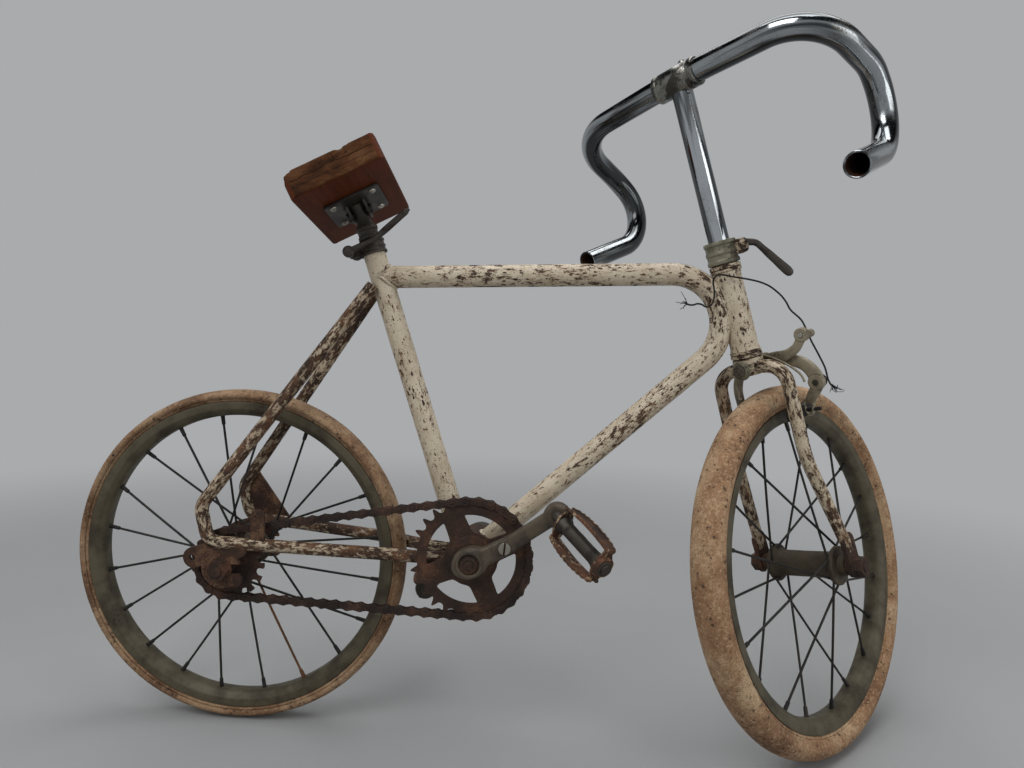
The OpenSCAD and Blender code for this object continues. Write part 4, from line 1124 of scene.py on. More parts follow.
@dataclass
class Studio:
    """The camera, the floor and the soft lights."""

    lens: float = 25.3
    eye: tuple[float, float, float] = (310.3, -716.3, 397.1)
    turn: float = 2.94
    pitch: float = 3.54
    roll: float = 1.43
    backdrop: str = "#a9abad"

    def camera(self) -> None:
        """Place the camera at the eye, turned, pitched and rolled as given."""
        data = bpy.data.cameras.new("camera")
        data.lens = self.lens
        data.sensor_width = 36.0
        data.clip_start = 0.01
        data.clip_end = 50.0
        camera = bpy.data.objects.new("camera", data)
        bpy.context.scene.collection.objects.link(camera)
        y, p, r = (math.radians(a) for a in (self.turn, self.pitch, self.roll))
        ahead = Vector((-math.sin(y) * math.cos(p), math.cos(y) * math.cos(p), -math.sin(p)))
        right = Vector((math.cos(y), math.sin(y), 0.0))
        up = right.cross(ahead)
        right2 = right * math.cos(r) + up * math.sin(r)
        up2 = up * math.cos(r) - right * math.sin(r)
        turned = Matrix((right2, up2, -ahead)).transposed().to_4x4()
        camera.matrix_world = Matrix.Translation(ground(*self.eye)) @ turned
        bpy.context.scene.camera = camera

    def seen_rays(self, tree: bpy.types.NodeTree) -> bpy.types.NodeSocket:
        """Return 1 for rays that show the background: the camera's, mirrored and passed ones.

        Args:
            tree: The node tree that the sockets are made in.

        Returns:
            The socket that carries the result.
        """
        rays = tree.nodes.new("ShaderNodeLightPath")
        total = rays.outputs["Is Camera Ray"]
        for name in ("Is Glossy Ray", "Is Transmission Ray"):
            add = tree.nodes.new("ShaderNodeMath")
            add.operation = "ADD"
            add.use_clamp = True
            tree.links.new(total, add.inputs[0])
            tree.links.new(rays.outputs[name], add.inputs[1])
            total = add.outputs[0]
        return total

    def floor(self) -> None:
        """Lay a wide pale floor just under the tyres, which fades into the backdrop."""
        shader = Shader("floor_cloth")
        place = shader.where()
        cloud = shader.noise(place, 2.5, 3.0, 0.5)
        colour = shader.blend(cloud, "#8e8f90", "#999a9b")
        normal = shader.height(shader.noise(place, 9.0, 3.0, 0.5), 0.004, 0.25)
        material = shader.finish(colour, 0.9, 0.0, normal)
        tree = shader.tree
        length = tree.nodes.new("ShaderNodeVectorMath")
        length.operation = "LENGTH"
        tree.links.new(place, length.inputs[0])
        fade = shader.step(length.outputs["Value"], 0.75, 1.9)
        amount = shader.maths("MULTIPLY", fade, self.seen_rays(tree))
        haze = tree.nodes.new("ShaderNodeEmission")
        haze.inputs["Color"].default_value = linear(self.backdrop)
        haze.inputs["Strength"].default_value = 1.0
        pick = tree.nodes.new("ShaderNodeMixShader")
        tree.links.new(amount, pick.inputs["Fac"])
        tree.links.new(shader.surface.outputs["BSDF"], pick.inputs[1])
        tree.links.new(haze.outputs["Emission"], pick.inputs[2])
        tree.links.new(pick.outputs["Shader"], shader.output.inputs["Surface"])
        mesh = bpy.data.meshes.new("floor")
        size = 14.0
        level = ground(0, 0, -0.5).z
        mesh.from_pydata([(-size, -size, level), (size, -size, level), (size, size, level),
                          (-size, size, level)],
                         [], [(0, 1, 2, 3)])
        mesh.materials.append(material)
        floor = bpy.data.objects.new("floor", mesh)
        bpy.context.scene.collection.objects.link(floor)

    def world(self) -> None:
        """Light the room evenly, with the backdrop all round and a dark ceiling to mirror."""
        world = bpy.data.worlds.new("room")
        bpy.context.scene.world = world
        world.use_nodes = True
        tree = world.node_tree
        tree.nodes.clear()
        out = tree.nodes.new("ShaderNodeOutputWorld")
        seen = tree.nodes.new("ShaderNodeBackground")
        seen.inputs["Strength"].default_value = 1.0
        ways = tree.nodes.new("ShaderNodeTexCoord")
        split = tree.nodes.new("ShaderNodeSeparateXYZ")
        ceiling = tree.nodes.new("ShaderNodeValToRGB")
        row = ceiling.color_ramp.elements
        row[0].position, row[0].color = 0.45, linear(self.backdrop)
        row[1].position, row[1].color = 0.6, linear("#151719")
        tree.links.new(ways.outputs["Generated"], split.inputs["Vector"])
        tree.links.new(split.outputs["Z"], ceiling.inputs["Fac"])
        tree.links.new(ceiling.outputs["Color"], seen.inputs["Color"])
        lit = tree.nodes.new("ShaderNodeBackground")
        lit.inputs["Color"].default_value = linear("#e3e4e4")
        lit.inputs["Strength"].default_value = 0.55
        pick = tree.nodes.new("ShaderNodeMixShader")
        tree.links.new(self.seen_rays(tree), pick.inputs["Fac"])
        tree.links.new(lit.outputs[0], pick.inputs[1])
        tree.links.new(seen.outputs[0], pick.inputs[2])
        tree.links.new(pick.outputs[0], out.inputs["Surface"])

    def lamp(self, name: str, place: tuple[float, float, float], size: float, power: float) -> None:
        """Hang one soft square lamp that faces the bicycle's middle.

        Args:
            name: Its name.
            place: Where the lamp hangs.
            size: The side of the lamp, in metres.
            power: The power, in watts.
        """
        data = bpy.data.lights.new(name, "AREA")
        data.shape = "SQUARE"
        data.size = size
        data.energy = power
        lamp = bpy.data.objects.new(name, data)
        bpy.context.scene.collection.objects.link(lamp)
        lamp.location = ground(*place)
        aim = ground(300, 0, 250) - lamp.location
        lamp.rotation_euler = aim.to_track_quat("-Z", "Y").to_euler()

    def build(self) -> None:
        """Set the whole stage."""
        self.camera()
        self.floor()
        self.world()
        self.lamp("key_lamp", (-500.0, -1100.0, 1700.0), 1.1, 16.0)
        self.lamp("top_lamp", (500.0, 300.0, 2000.0), 1.6, 20.0)
        self.lamp("fill_lamp", (1500.0, -900.0, 700.0), 0.9, 5.0)


@dataclass
class BrakeWire:
    """The loose brake wire: a bare end by the frame's bend, and a bow to the front brake."""

    diameter: float = 1.8
    loose: tuple[tuple[float, float, float], ...] = (
        (438, -15, 436.5), (442, -15.2, 434.6), (446, -15.6, 434.4), (450, -16, 435.6), (454, -16.4, 435),
        (457.6, -16.4, 433), (461.2, -16, 433.2), (464, -15.6, 436), (465.4, -15.2, 440),
        (465.8, -15, 445), (465.4, -15, 450), (464.4, -15.2, 455), (464.4, -15.8, 459.4),
        (466.8, -16.4, 462.6), (471, -17, 463.6), (478, -17.6, 462.4), (486, -18, 461.2),
        (494, -18.5, 460), (502, -19, 458.5), (509, -19.5, 456.5), (516, -19.5, 453.5),
        (522, -19, 449.5), (528, -18.4, 444.5), (533, -17.8, 438.5), (537.5, -17.2, 431.5))
    steered: tuple[tuple[float, float, float], ...] = (
        (31.1, -46.5, -23.0), (30.6, -49.5, -33.0), (31.1, -51.5, -45.0), (33.6, -54.0, -59.0),
        (36.1, -56.0, -73.0), (36.6, -56.0, -84.0), (36.6, -57.5, -90.0), (37.1, -60.5, -94.0))

    def route(self) -> list[Vector]:
        """Return the wire's centre line in the model frame, in metres."""
        steer = steering_matrix()
        return [ground(*p) for p in self.loose] + [steer @ Vector(p) for p in self.steered]

    def build(self, finishes: Finishes) -> None:
        """Make the wire and its frayed strands.

        Args:
            finishes: The bicycle's materials.
        """
        fine = through(self.route(), 4)
        mesh = Mesh()
        radius = self.diameter / 2.0
        sweep(mesh, [p * 1000.0 for p in fine], lambda t: (radius * 0.98, radius * 0.98), 12)
        wire = mesh.build("brake_cable_wire", Body.STEERING, [finishes.wire], Matrix.Scale(0.001, 4),
                          ["brake_cable"], "dark_wire")
        wire.parent = None
        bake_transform(wire)
        strands = self.frayed(finishes)

    def frayed(self, finishes: Finishes) -> list[bpy.types.Object]:
        """Make the thin strands that splay out at the wire's two ends.

        Args:
            finishes: The bicycle's materials.

        Returns:
            One piece at the frame's bend and one at the brake.
        """
        made: list[bpy.types.Object] = []
        rng = random.Random(23)
        steer = steering_matrix()
        ends = (("brake_cable_loose_strands", Body.FRAME, ground(*self.loose[1]), ground(*self.loose[0]), 8,
                 7.0),
                ("brake_cable_brake_strands", Body.STEERING, steer @ Vector(self.steered[-3]),
                 steer @ Vector(self.steered[-1]), 12, 10.0))
        for name, body, before, tip, count, reach in ends:
            mesh = Mesh()
            ahead = (tip - before).normalized()
            for _ in range(count):
                stray = Vector((rng.uniform(-1, 1), rng.uniform(-1, 1), rng.uniform(-1, 1)))
                bent = Vector((rng.uniform(-1, 1), rng.uniform(-1, 1), rng.uniform(-1, 1)))
                way = (ahead + stray * 0.9).normalized()
                start = tip * 1000.0 - ahead * rng.uniform(0.5, 5.0)
                long = reach * rng.uniform(0.5, 1.0)
                line = through([start, start + way * long * 0.4, start + (way + bent * 0.5) * long * 0.8,
                                start + (way + bent * 1.1) * long], 4)
                sweep(mesh, line, lambda t: (0.28, 0.28), 6)
            made.append(mesh.build(name, body, [finishes.wire], Matrix.Scale(0.001, 4), [], "dark_wire"))
        return made


@dataclass
class FrameTubes:
    """Main tube, seat tube, head tube and the bent stays, with their weld beads."""

    main_d: float = 22.0
    seat_d: float = 22.2
    head_d: float = 27.0
    stay_d: float = 12.4
    head_l: float = 78.0

    def seat_x(self, height: float) -> float:
        """Return how far forward the seat tube's middle is at a height."""
        return CRANK.x - 11.0 - (height - CRANK.z) / math.tan(math.radians(72.0))

    def main_corners(self) -> list[Vector]:
        """Return the main tube's start, its corner and its foot.

        Returns:
            The points, in millimetres.
        """
        start = Vector((self.seat_x(456.0), 0, 456.0))
        corner_x = HEAD.x + 67.5
        corner = Vector((corner_x, 0, 456.0 + (corner_x - start.x) * math.tan(math.radians(1.7))))
        slope = math.radians(42.0)
        length = (corner_x - CRANK.x - 4.0) / math.cos(slope)
        foot = corner - Vector((math.cos(slope), 0, math.sin(slope))) * length
        return [start, corner, foot]

    def stay_corners(self, side: int) -> list[Vector]:
        """Return the bent stay's corners on one side.

        Args:
            side: -1 for the right side and 1 for the left.

        Returns:
            The points, in millimetres.
        """
        half = [(self.seat_x(445.0) - 9.0, 11.5, 447.0), (-21.0, 49.0, 230.0), (-13.0, 50.0, 195.5),
                (140.0, 30.5, 185.0), (188.0, 20.5, 180.0), (CRANK.x - 8.0, 15.0, CRANK.z - 7.0)]
        return [Vector((x, y * side, z)) for x, y, z in half]

    def bead(self, mesh: Mesh, start: Vector, axis: Vector, radius: float, other: Vector, other_axis: Vector,
             other_radius: float, size: float = 2.0) -> None:
        """Lay a weld bead where one tube's wall meets another's.

        Args:
            mesh: Where the bead is added.
            start: A point inside the other tube on this tube's middle line.
            axis: The way out of the other tube along this one.
            radius: This tube's radius.
            other: A point on the other tube's middle line.
            other_axis: The other tube's direction.
            other_radius: The other tube's radius.
            size: The bead's radius.
        """
        axis, other_axis = axis.normalized(), other_axis.normalized()
        side = axis.orthogonal().normalized()
        over = axis.cross(side)
        ring: list[Vector] = []
        for k in range(40):
            turn = 2.0 * math.pi * k / 40
            base = start + (side * math.cos(turn) + over * math.sin(turn)) * (radius + 0.1)
            step = 0.0
            while step < 60.0:
                away = (base + axis * step) - other
                away = away - other_axis * away.dot(other_axis)
                if away.length >= other_radius:
                    break
                step += 0.25
            ring.append(base + axis * step)
        ring.append(ring[0])
        ring.append(ring[1])
        wave = [size * (0.85 + 0.3 * noise.noise(p * 0.3)) for p in ring]
        sweep(mesh, ring, lambda t: (wave[min(41, int(t * 41))],) * 2, 10, caps=True)

    def build(self, finishes: Finishes) -> None:
        """Make the painted tubes.

        Args:
            finishes: The bicycle's materials.
        """
        matrix = ground_matrix()
        lean = Vector((-math.cos(math.radians(72.0)), 0, math.sin(math.radians(72.0))))
        steer = Vector((-math.cos(math.radians(HEAD_ANGLE)), 0, math.sin(math.radians(HEAD_ANGLE))))
        corners = self.main_corners()
        tube = Mesh()
        r = self.main_d / 2.0
        sweep(tube, smooth_path(corners, [48.0], 5.0), lambda t: (r, r), 40, rough=0.12, seed=1.0)
        seat_foot = Vector((self.seat_x(CRANK.z), 0, CRANK.z))
        self.bead(tube, corners[0], corners[1] - corners[0], r, seat_foot, lean, self.seat_d / 2.0)
        down = corners[2] - corners[1]
        self.bead(tube, corners[2], -down, r, CRANK, Vector((0, 1, 0)), 19.0)
        tube.build("main_tube_shell", Body.FRAME, [finishes.paint], matrix, ["main_tube"], "painted_tube")
        tube = Mesh()
        r = self.seat_d / 2.0
        top = Vector((self.seat_x(478.0), 0, 478.0))
        sweep(tube, smooth_path([seat_foot + lean * 12.0, top], [], 5.0), lambda t: (r, r), 40, rough=0.1,
              seed=2.0)
        self.bead(tube, seat_foot, lean, r, CRANK, Vector((0, 1, 0)), 19.0)
        tube.build("seat_tube_shell", Body.FRAME, [finishes.paint_spotted], matrix, ["seat_tube"],
                   "painted_tube")
        tube = Mesh()
        r = self.head_d / 2.0
        low, high = HEAD - steer * self.head_l / 2.0, HEAD + steer * self.head_l / 2.0
        flare = lambda t: (r + 0.7 * max(0.0, abs(t - 0.5) * 2.0 - 0.93) / 0.07,) * 2
        sweep(tube, smooth_path([low, high], [], 3.0), flare, 44, rough=0.08, seed=3.0)
        tube.build("head_tube_shell", Body.FRAME, [finishes.paint_spotted], matrix, ["head_tube"],
                   "painted_tube")
        for side, name in ((-1, "right"), (1, "left")):
            tube = Mesh()
            r = self.stay_d / 2.0
            path = smooth_path(self.stay_corners(side), [18.0, 14.0, 90.0, 90.0], 5.0)
            flat = lambda t: (r, r)
            sweep(tube, path, flat, 28, rough=0.12, seed=4.0 + side)
            tube.build(f"rear_stay_{name}_rod", Body.FRAME, [finishes.paint_worn], matrix,
                       [f"rear_stay_{name}"], "painted_tube")


@dataclass
class Fork:
    """The fork's two blades."""

    blade_d: float = 13.0
    blade_y: float = 36.0
    end_y: float = 47.0
    top_z: float = -56.0
    rake: float = 18.0
    drop: float = 265.0

    def corners(self, side: int) -> list[Vector]:
        """Return a blade's corners in the steering frame.

        Args:
            side: -1 for the right side and 1 for the left.

        Returns:
            The points, in millimetres.
        """
        return [Vector((0, 0, self.top_z)), Vector((-1, side * self.blade_y, self.top_z - 4.0)),
                Vector((-4, side * (self.blade_y + 1.0), -150.0)),
                Vector((self.rake - 1.5, side * self.end_y, 16.0 - self.drop))]

    def build(self, finishes: Finishes) -> None:
        """Make the blades, thinner and flattened at their tips.

        Args:
            finishes: The bicycle's materials.
        """
        r = self.blade_d / 2.0

        def size(t: float) -> tuple[float, float]:
            """Return the blade's half width and half height at a share of its length.

            Args:
                t: The share of the length, from 0 to 1.

            Returns:
                The half width and the half height.
            """
            slim = 1.0 - 0.16 * max(0.0, t - 0.45) / 0.55
            tip = max(0.0, (t - 0.95) / 0.05)
            return (r * slim * (1.0 - 0.45 * tip), r * slim)

        for side, name in ((-1, "right"), (1, "left")):
            mesh = Mesh()
            sweep(mesh, smooth_path(self.corners(side), [20.0, 110.0], 4.0), size, 28, rough=0.12,
                  seed=7.0 + side,
                  up=Vector((1, 0, 0)))
            mesh.build(f"fork_blade_{name}_rod", Body.STEERING, [finishes.paint_fork], steering_matrix(),
                       [f"fork_blade_{name}"], "painted_tube")


@dataclass
class Handlebar:
    """The chromed drop bar, its centre sleeve and the straight stem."""

    bar_d: float = 22.2
    wall: float = 1.6
    half_w: float = 138.0
    reach: float = 124.0
    drop: float = 137.5
    tip: float = 7.0
    rise: float = 228.0
    back: float = 3.0
    stem_d: float = 20.4

    def matrix(self) -> Matrix:
        """Return the matrix from the bar's own frame to the model frame."""
        lean = Matrix.Rotation(math.radians(self.tip), 4, "Y")
        return steering_matrix() @ Matrix.Translation((-self.back, 0, self.rise)) @ lean

    def corners(self) -> list[Vector]:
        """Return the bar's corners from its right end to its left end.

        Returns:
            The points, in millimetres.
        """
        half = [(0, 30, 0), (0, self.half_w, -4), (self.reach * 0.56, self.half_w + 8, -41),
                (self.reach, self.half_w, 36 - self.drop), (-3, self.half_w + 10, -self.drop)]
        right = [Vector((x, -y, z)) for x, y, z in reversed(half)]
        return right + [Vector(p) for p in half]

    def build(self, finishes: Finishes) -> None:
        """Make the bar, the sleeve and the stem.

        Args:
            finishes: The bicycle's materials.
        """
        bar = Mesh()
        r = self.bar_d / 2.0
        path = smooth_path(self.corners(), [42, 48, 52, 200, 200, 52, 48, 42], 4.0)
        sweep(bar, path, lambda t: (r, r), 48, caps=False)
        inner = r - self.wall
        for end, beyond in ((0, 1), (-1, -2)):
            tip = path[end]
            inward = (path[beyond] - tip).normalized()
            sweep(bar, [tip + inward * k * 4.0 for k in range(16)], lambda t: (inner, inner), 48, caps=False,
                  slot=1, inward=True)
            lathe(bar, [(inner, 0.0), (inner + 0.5, -0.35), (r - 0.5, -0.35), (r, 0.0)], tip, inward, 48,
                  slot=0)
        bar.build("handlebar_tube", Body.STEERING, [finishes.chrome, finishes.tube_inside], self.matrix(),
                  ["handlebar"], "pitted_chrome")
        sleeve = Mesh()
        s = (self.bar_d + 5.0) / 2.0
        lathe(sleeve, [(r, -23), (s - 0.8, -23), (s, -22.2), (s, -18), (s - 0.5, -17.4), (s - 0.5, -16.6),
                       (s, -16),
                       (s, 16), (s - 0.5, 16.6), (s - 0.5, 17.4), (s, 18), (s, 22.2), (s - 0.8, 23), (r, 23)],
              Vector((0, 0, 0)), Vector((0, 1, 0)), 56)
        bolt_head(sleeve, Vector((4, -6, s - 1.2)), Vector((0, 0, 1)), 9.6, 4.9, 24)
        sleeve.build("handlebar_sleeve_shell", Body.STEERING, [finishes.chrome_worn], self.matrix(),
                     ["handlebar_sleeve"], "pitted_chrome")
        stem = Mesh()
        q = self.stem_d / 2.0
        sweep(stem, [Vector((0, 0, -20.0 + k * 5.0)) for k in range(49)], lambda t: (q, q), 48)
        stem.build("stem_tube", Body.STEERING, [finishes.chrome_stem], steering_matrix(), ["stem"],
                   "pitted_chrome")


@dataclass
class Wheel:
    """One wheel: tyre, rolled rim, laced spokes and hub."""

    name: str
    body: Body
    tyre_r: float
    tyre_w: float
    flange_y: float
    hub_right: float
    hub_left: float
    rim_r: float = 158.0
    rim_w: float = 23.0
    bed_r: float = 143.5
    spoke_d: float = 2.6
    flange_d: float = 38.0
    hub_d: float = 26.0
    count: int = 20

    def matrix(self) -> Matrix:
        """Return the matrix from the wheel's own frame to the model frame.

        Returns:
            The matrix.
        """
        if self.body is Body.REAR_WHEEL:
            return ground_matrix() @ Matrix.Translation((0, 0, REAR_AXLE_Z))
        return steering_matrix() @ Matrix.Translation((18.0, 0, -265.0))

    def tyre(self, finishes: Finishes) -> None:
        """Make the tyre: a round crown, worn smooth, with a moulded ridge by the rim.

        Args:
            finishes: The materials to give the pieces.
        """
        half = self.tyre_w / 2.0
        tall = self.tyre_r - self.rim_r
        middle = self.tyre_r - tall * 0.52
        outline: list[tuple[float, float]] = []
        for k in range(29):
            turn = math.radians(-118.0 + 236.0 * k / 28.0)
            outline.append((middle + math.cos(turn) * (self.tyre_r - middle - 0.3),
                            math.sin(turn) * (half - 0.25)))
        foot = self.rim_w / 2.0 - 2.6
        ridge = [(self.rim_r + 3.2, foot + 2.5), (self.rim_r + 2.2, foot + 2.9),
                 (self.rim_r + 1.0, foot + 2.4),
                 (self.rim_r - 0.6, foot), (self.rim_r - 6.0, foot)]
        outline += ridge + [(r, -y) for r, y in reversed(ridge)]
        mesh = Mesh()
        lathe(mesh, outline, Vector((0, 0, 0)), Vector((0, 1, 0)), 168, closed=True, wander=0.28)
        material = finishes.rubber_front if self.body is Body.FRONT_WHEEL else finishes.rubber
        mesh.build(f"{self.name}_tyre_rubber", self.body, [material], self.matrix(), [f"{self.name}_tyre"],
                   "weathered_tyre")

    def rim(self, finishes: Finishes) -> None:
        """Make the rim: a rolled channel with a ridge down each side.

        Args:
            finishes: The materials to give the pieces.
        """
        half = self.rim_w / 2.0
        bed = half - 5.0
        side = [(self.bed_r, 0.0), (self.bed_r + 0.15, bed * 0.6), (self.bed_r + 0.7, bed),
                (self.bed_r + 3.4, bed + 2.2), (self.bed_r + 5.4, bed + 3.6), (self.bed_r + 6.2, half - 0.7),
                (self.bed_r + 8.0, half - 0.1), (self.rim_r - 3.0, half - 0.4), (self.rim_r - 1.4, half),
                (self.rim_r - 0.2, half - 0.3), (self.rim_r, half - 1.0), (self.rim_r - 0.4, half - 1.8),
                (self.rim_r - 7.0, half - 2.0), (self.bed_r + 3.4, bed - 0.4), (self.bed_r + 3.2, 0.0)]
        outline = side + [(r, -y) for r, y in reversed(side[1:-1])]
        mesh = Mesh()
        lathe(mesh, outline, Vector((0, 0, 0)), Vector((0, 1, 0)), 160, closed=True)
        mesh.build(f"{self.name}_rim_channel", self.body, [finishes.tarnish], self.matrix(),
                   [f"{self.name}_rim"],
                   "tarnished_rim", smooth=50.0)

    def spokes(self, finishes: Finishes) -> None:
        """Lace the spokes, each with its bent head, its nipple and a slight bow.

        Args:
            finishes: The materials to give the pieces.
        """
        mesh = Mesh()
        hole = self.flange_d / 2.0 - 3.4
        rng = random.Random(11 if self.body is Body.FRONT_WHEEL else 5)
        r = self.spoke_d / 2.0 - 0.1
        for i in range(self.count):
            side = -1 if i % 2 == 0 else 1
            lead = 1 if (i // 2) % 2 == 0 else -1
            at = math.radians((i + 0.5) * 360.0 / self.count)
            start = at + math.radians(lead * 62.0)
            a = Vector((hole * math.cos(start), side * (self.flange_y - lead * 1.6), hole * math.sin(start)))
            b = Vector((self.bed_r * math.cos(at), side * 1.2, self.bed_r * math.sin(at)))
            run = (b - a).normalized()
            bow = Vector((rng.uniform(-1, 1), rng.uniform(-1, 1), rng.uniform(-1, 1))) * 0.45
            path = [a.lerp(b, k / 8.0) + bow * math.sin(math.pi * k / 8.0) for k in range(9)]
            tan = self.body is Body.REAR_WHEEL and i == 16
            slot = 1 if tan else 0
            sweep(mesh, path, lambda t: (r, r), 10, slot=slot)
            lathe(mesh, [(0.1, -1.2), (r + 0.7, -1.0), (r + 0.9, 0.2), (r, 1.2)], a, run, 10, slot=slot)
            lathe(mesh, [(r, -9.5), (1.9, -9.0), (2.1, -1.0), (2.5, 0.2), (2.5, 0.9)], b, run, 10, slot=slot)
        mesh.build(f"{self.name}_spoke_set", self.body, [finishes.spoke, finishes.spoke_tan], self.matrix(),
                   [f"{self.name}_spokes"], "dark_wire")

    def hub(self, finishes: Finishes) -> None:
        """Make the hub: a barrel that swells to its two flanges, with a cone at each end.

        Args:
            finishes: The materials to give the pieces.
        """
        f, d = self.flange_d / 2.0 - 0.1, self.hub_d / 2.0
        y = self.flange_y
        bore = 4.9
        outline = [(bore, -self.hub_right), (8.6, -self.hub_right), (9.4, -self.hub_right + 0.8),
                   (9.4, -y - 3.6), (f - 1.0, -y - 3.1), (f, -y - 2.3), (f, -y + 0.4), (f - 1.2, -y + 1.6),
                   (d + 2.0, -y + 3.2), (d, -y + 7.0), (d - 0.2, 0.0), (d, y - 7.0), (d + 2.0, y - 3.2),
                   (f - 1.2, y - 1.6), (f, y - 0.4), (f, y + 2.3), (f - 1.0, y + 3.1), (9.4, y + 3.6),
                   (9.4, self.hub_left - 0.8), (8.6, self.hub_left), (bore, self.hub_left)]
        mesh = Mesh()
        lathe(mesh, outline, Vector((0, 0, 0)), Vector((0, 1, 0)), 48, closed=True)
        mesh.build(f"{self.name}_hub_shell", self.body, [finishes.hub], self.matrix(), [f"{self.name}_hub"],
                   "rusty_steel", smooth=35.0)

    def build(self, finishes: Finishes) -> None:
        """Make the whole wheel.

        Args:
            finishes: The materials to give the pieces.
        """
        self.tyre(finishes)
        self.rim(finishes)
        self.spokes(finishes)
        self.hub(finishes)


@dataclass
class Chain:
    """The roller chain: a fixed loop of inner and outer links."""

    pitch: float = 12.7
    links: int = 60
    ring_teeth: int = 28
    sprocket_teeth: int = 16
    line: float = 34.0

    def first_ring_pin(self) -> float:
        """Return the angle above the front, in radians, of one pin that lies on the chainring.

        Returns:
            The angle, in radians.
        """
        big = self.pitch / 2.0 / math.sin(math.pi / self.ring_teeth)
        small = self.pitch / 2.0 / math.sin(math.pi / self.sprocket_teeth)
        gap = math.hypot(CRANK.x, CRANK.z - REAR_AXLE_Z)
        run = math.sqrt(gap * gap - (big - small) ** 2) / self.pitch
        past = math.ceil(run) - run
        return (math.pi / 2.0 + math.asin((big - small) / gap) - past * 2.0 * math.pi / self.ring_teeth
                + math.atan2(CRANK.z - REAR_AXLE_Z, CRANK.x))

    def pins(self) -> list[Vector]:
        """Return the pins' places round the loop, in the ground frame.

        Returns:
            The points, in millimetres.
        """
        big = self.pitch / 2.0 / math.sin(math.pi / self.ring_teeth)
        small = self.pitch / 2.0 / math.sin(math.pi / self.sprocket_teeth)
        gap = math.hypot(CRANK.x, CRANK.z - REAR_AXLE_Z)
        lean = math.asin((big - small) / gap)
        tilt = math.atan2(CRANK.z - REAR_AXLE_Z, CRANK.x)
        run = math.sqrt(gap * gap - (big - small) ** 2) / self.pitch
        ring = self.ring_teeth * (math.pi + 2.0 * lean) / (2.0 * math.pi)
        places: list[Vector] = []
        for k in range(self.links):
            if k < run:
                turn, s = math.pi / 2.0 + lean, k * self.pitch
                x, z = small * math.cos(turn) + s * math.cos(lean), small * math.sin(turn) + s * math.sin(lean)
            elif k < run + ring:
                turn = math.pi / 2.0 + lean - (k - run) * 2.0 * math.pi / self.ring_teeth
                x, z = gap + big * math.cos(turn), big * math.sin(turn)
            elif k < 2.0 * run + ring:
                turn, s = -math.pi / 2.0 - lean, (k - run - ring) * self.pitch
                x, z = gap + big * math.cos(turn) - s * math.cos(lean), big * math.sin(turn) + s * math.sin(lean)
            else:
                turn = -math.pi / 2.0 - lean - (k - 2.0 * run - ring) * 2.0 * math.pi / self.sprocket_teeth
                x, z = small * math.cos(turn), small * math.sin(turn)
            places.append(Vector((x * math.cos(tilt) - z * math.sin(tilt), -self.line,
                                  REAR_AXLE_Z + x * math.sin(tilt) + z * math.cos(tilt))))
        return places

    def build(self, finishes: Finishes) -> None:
        """Make every link plate, pin and roller.

        Args:
            finishes: The bicycle's materials.
        """
        pins = self.pins()
        plates, rollers = Mesh(), Mesh()
        waist = 2.75
        outline: list[tuple[float, float]] = []
        for centre, first in ((self.pitch, -118), (0.0, 62)):
            for k in range(13):
                turn = math.radians(first + 236.0 * k / 12.0)
                outline.append((centre + 4.2 * math.cos(turn), 4.2 * math.sin(turn)))
            outline.append((self.pitch / 2.0, waist if centre > 0 else -waist))
        for k, here in enumerate(pins):
            there = pins[(k + 1) % self.links]
            right = (there - here).normalized()
            up = Vector((0, -1, 0)).cross(right)
            outer = k % 2 == 0
            reach = 3.2 if outer else 2.05
            for side in (-1, 1):
                link_plate(plates, outline, here + Vector((0, side * reach, 0)), right, up, 1.05, 0.3)
            lathe(plates, [(0.1, -3.98), (1.5, -3.95), (1.9, -3.7), (1.9, 3.7), (1.5, 3.95), (0.1, 3.98)],
                  here,
                  Vector((0, 1, 0)), 12)
            lathe(rollers, [(2.0, -1.5), (3.7, -1.5), (3.85, -1.2), (3.85, 1.2), (3.7, 1.5), (2.0, 1.5)],
                  here,
                  Vector((0, 1, 0)), 16)
        matrix = ground_matrix()
        plates.build("chain_link_plates", Body.FRAME, [finishes.rust_chain], matrix,
                     ["chain_side_right", "chain_side_left"], "rusty_chain", smooth=35.0)
        rollers.build("chain_roller_set", Body.FRAME, [finishes.rust_chain], matrix, ["chain_rollers"],
                      "rusty_chain")


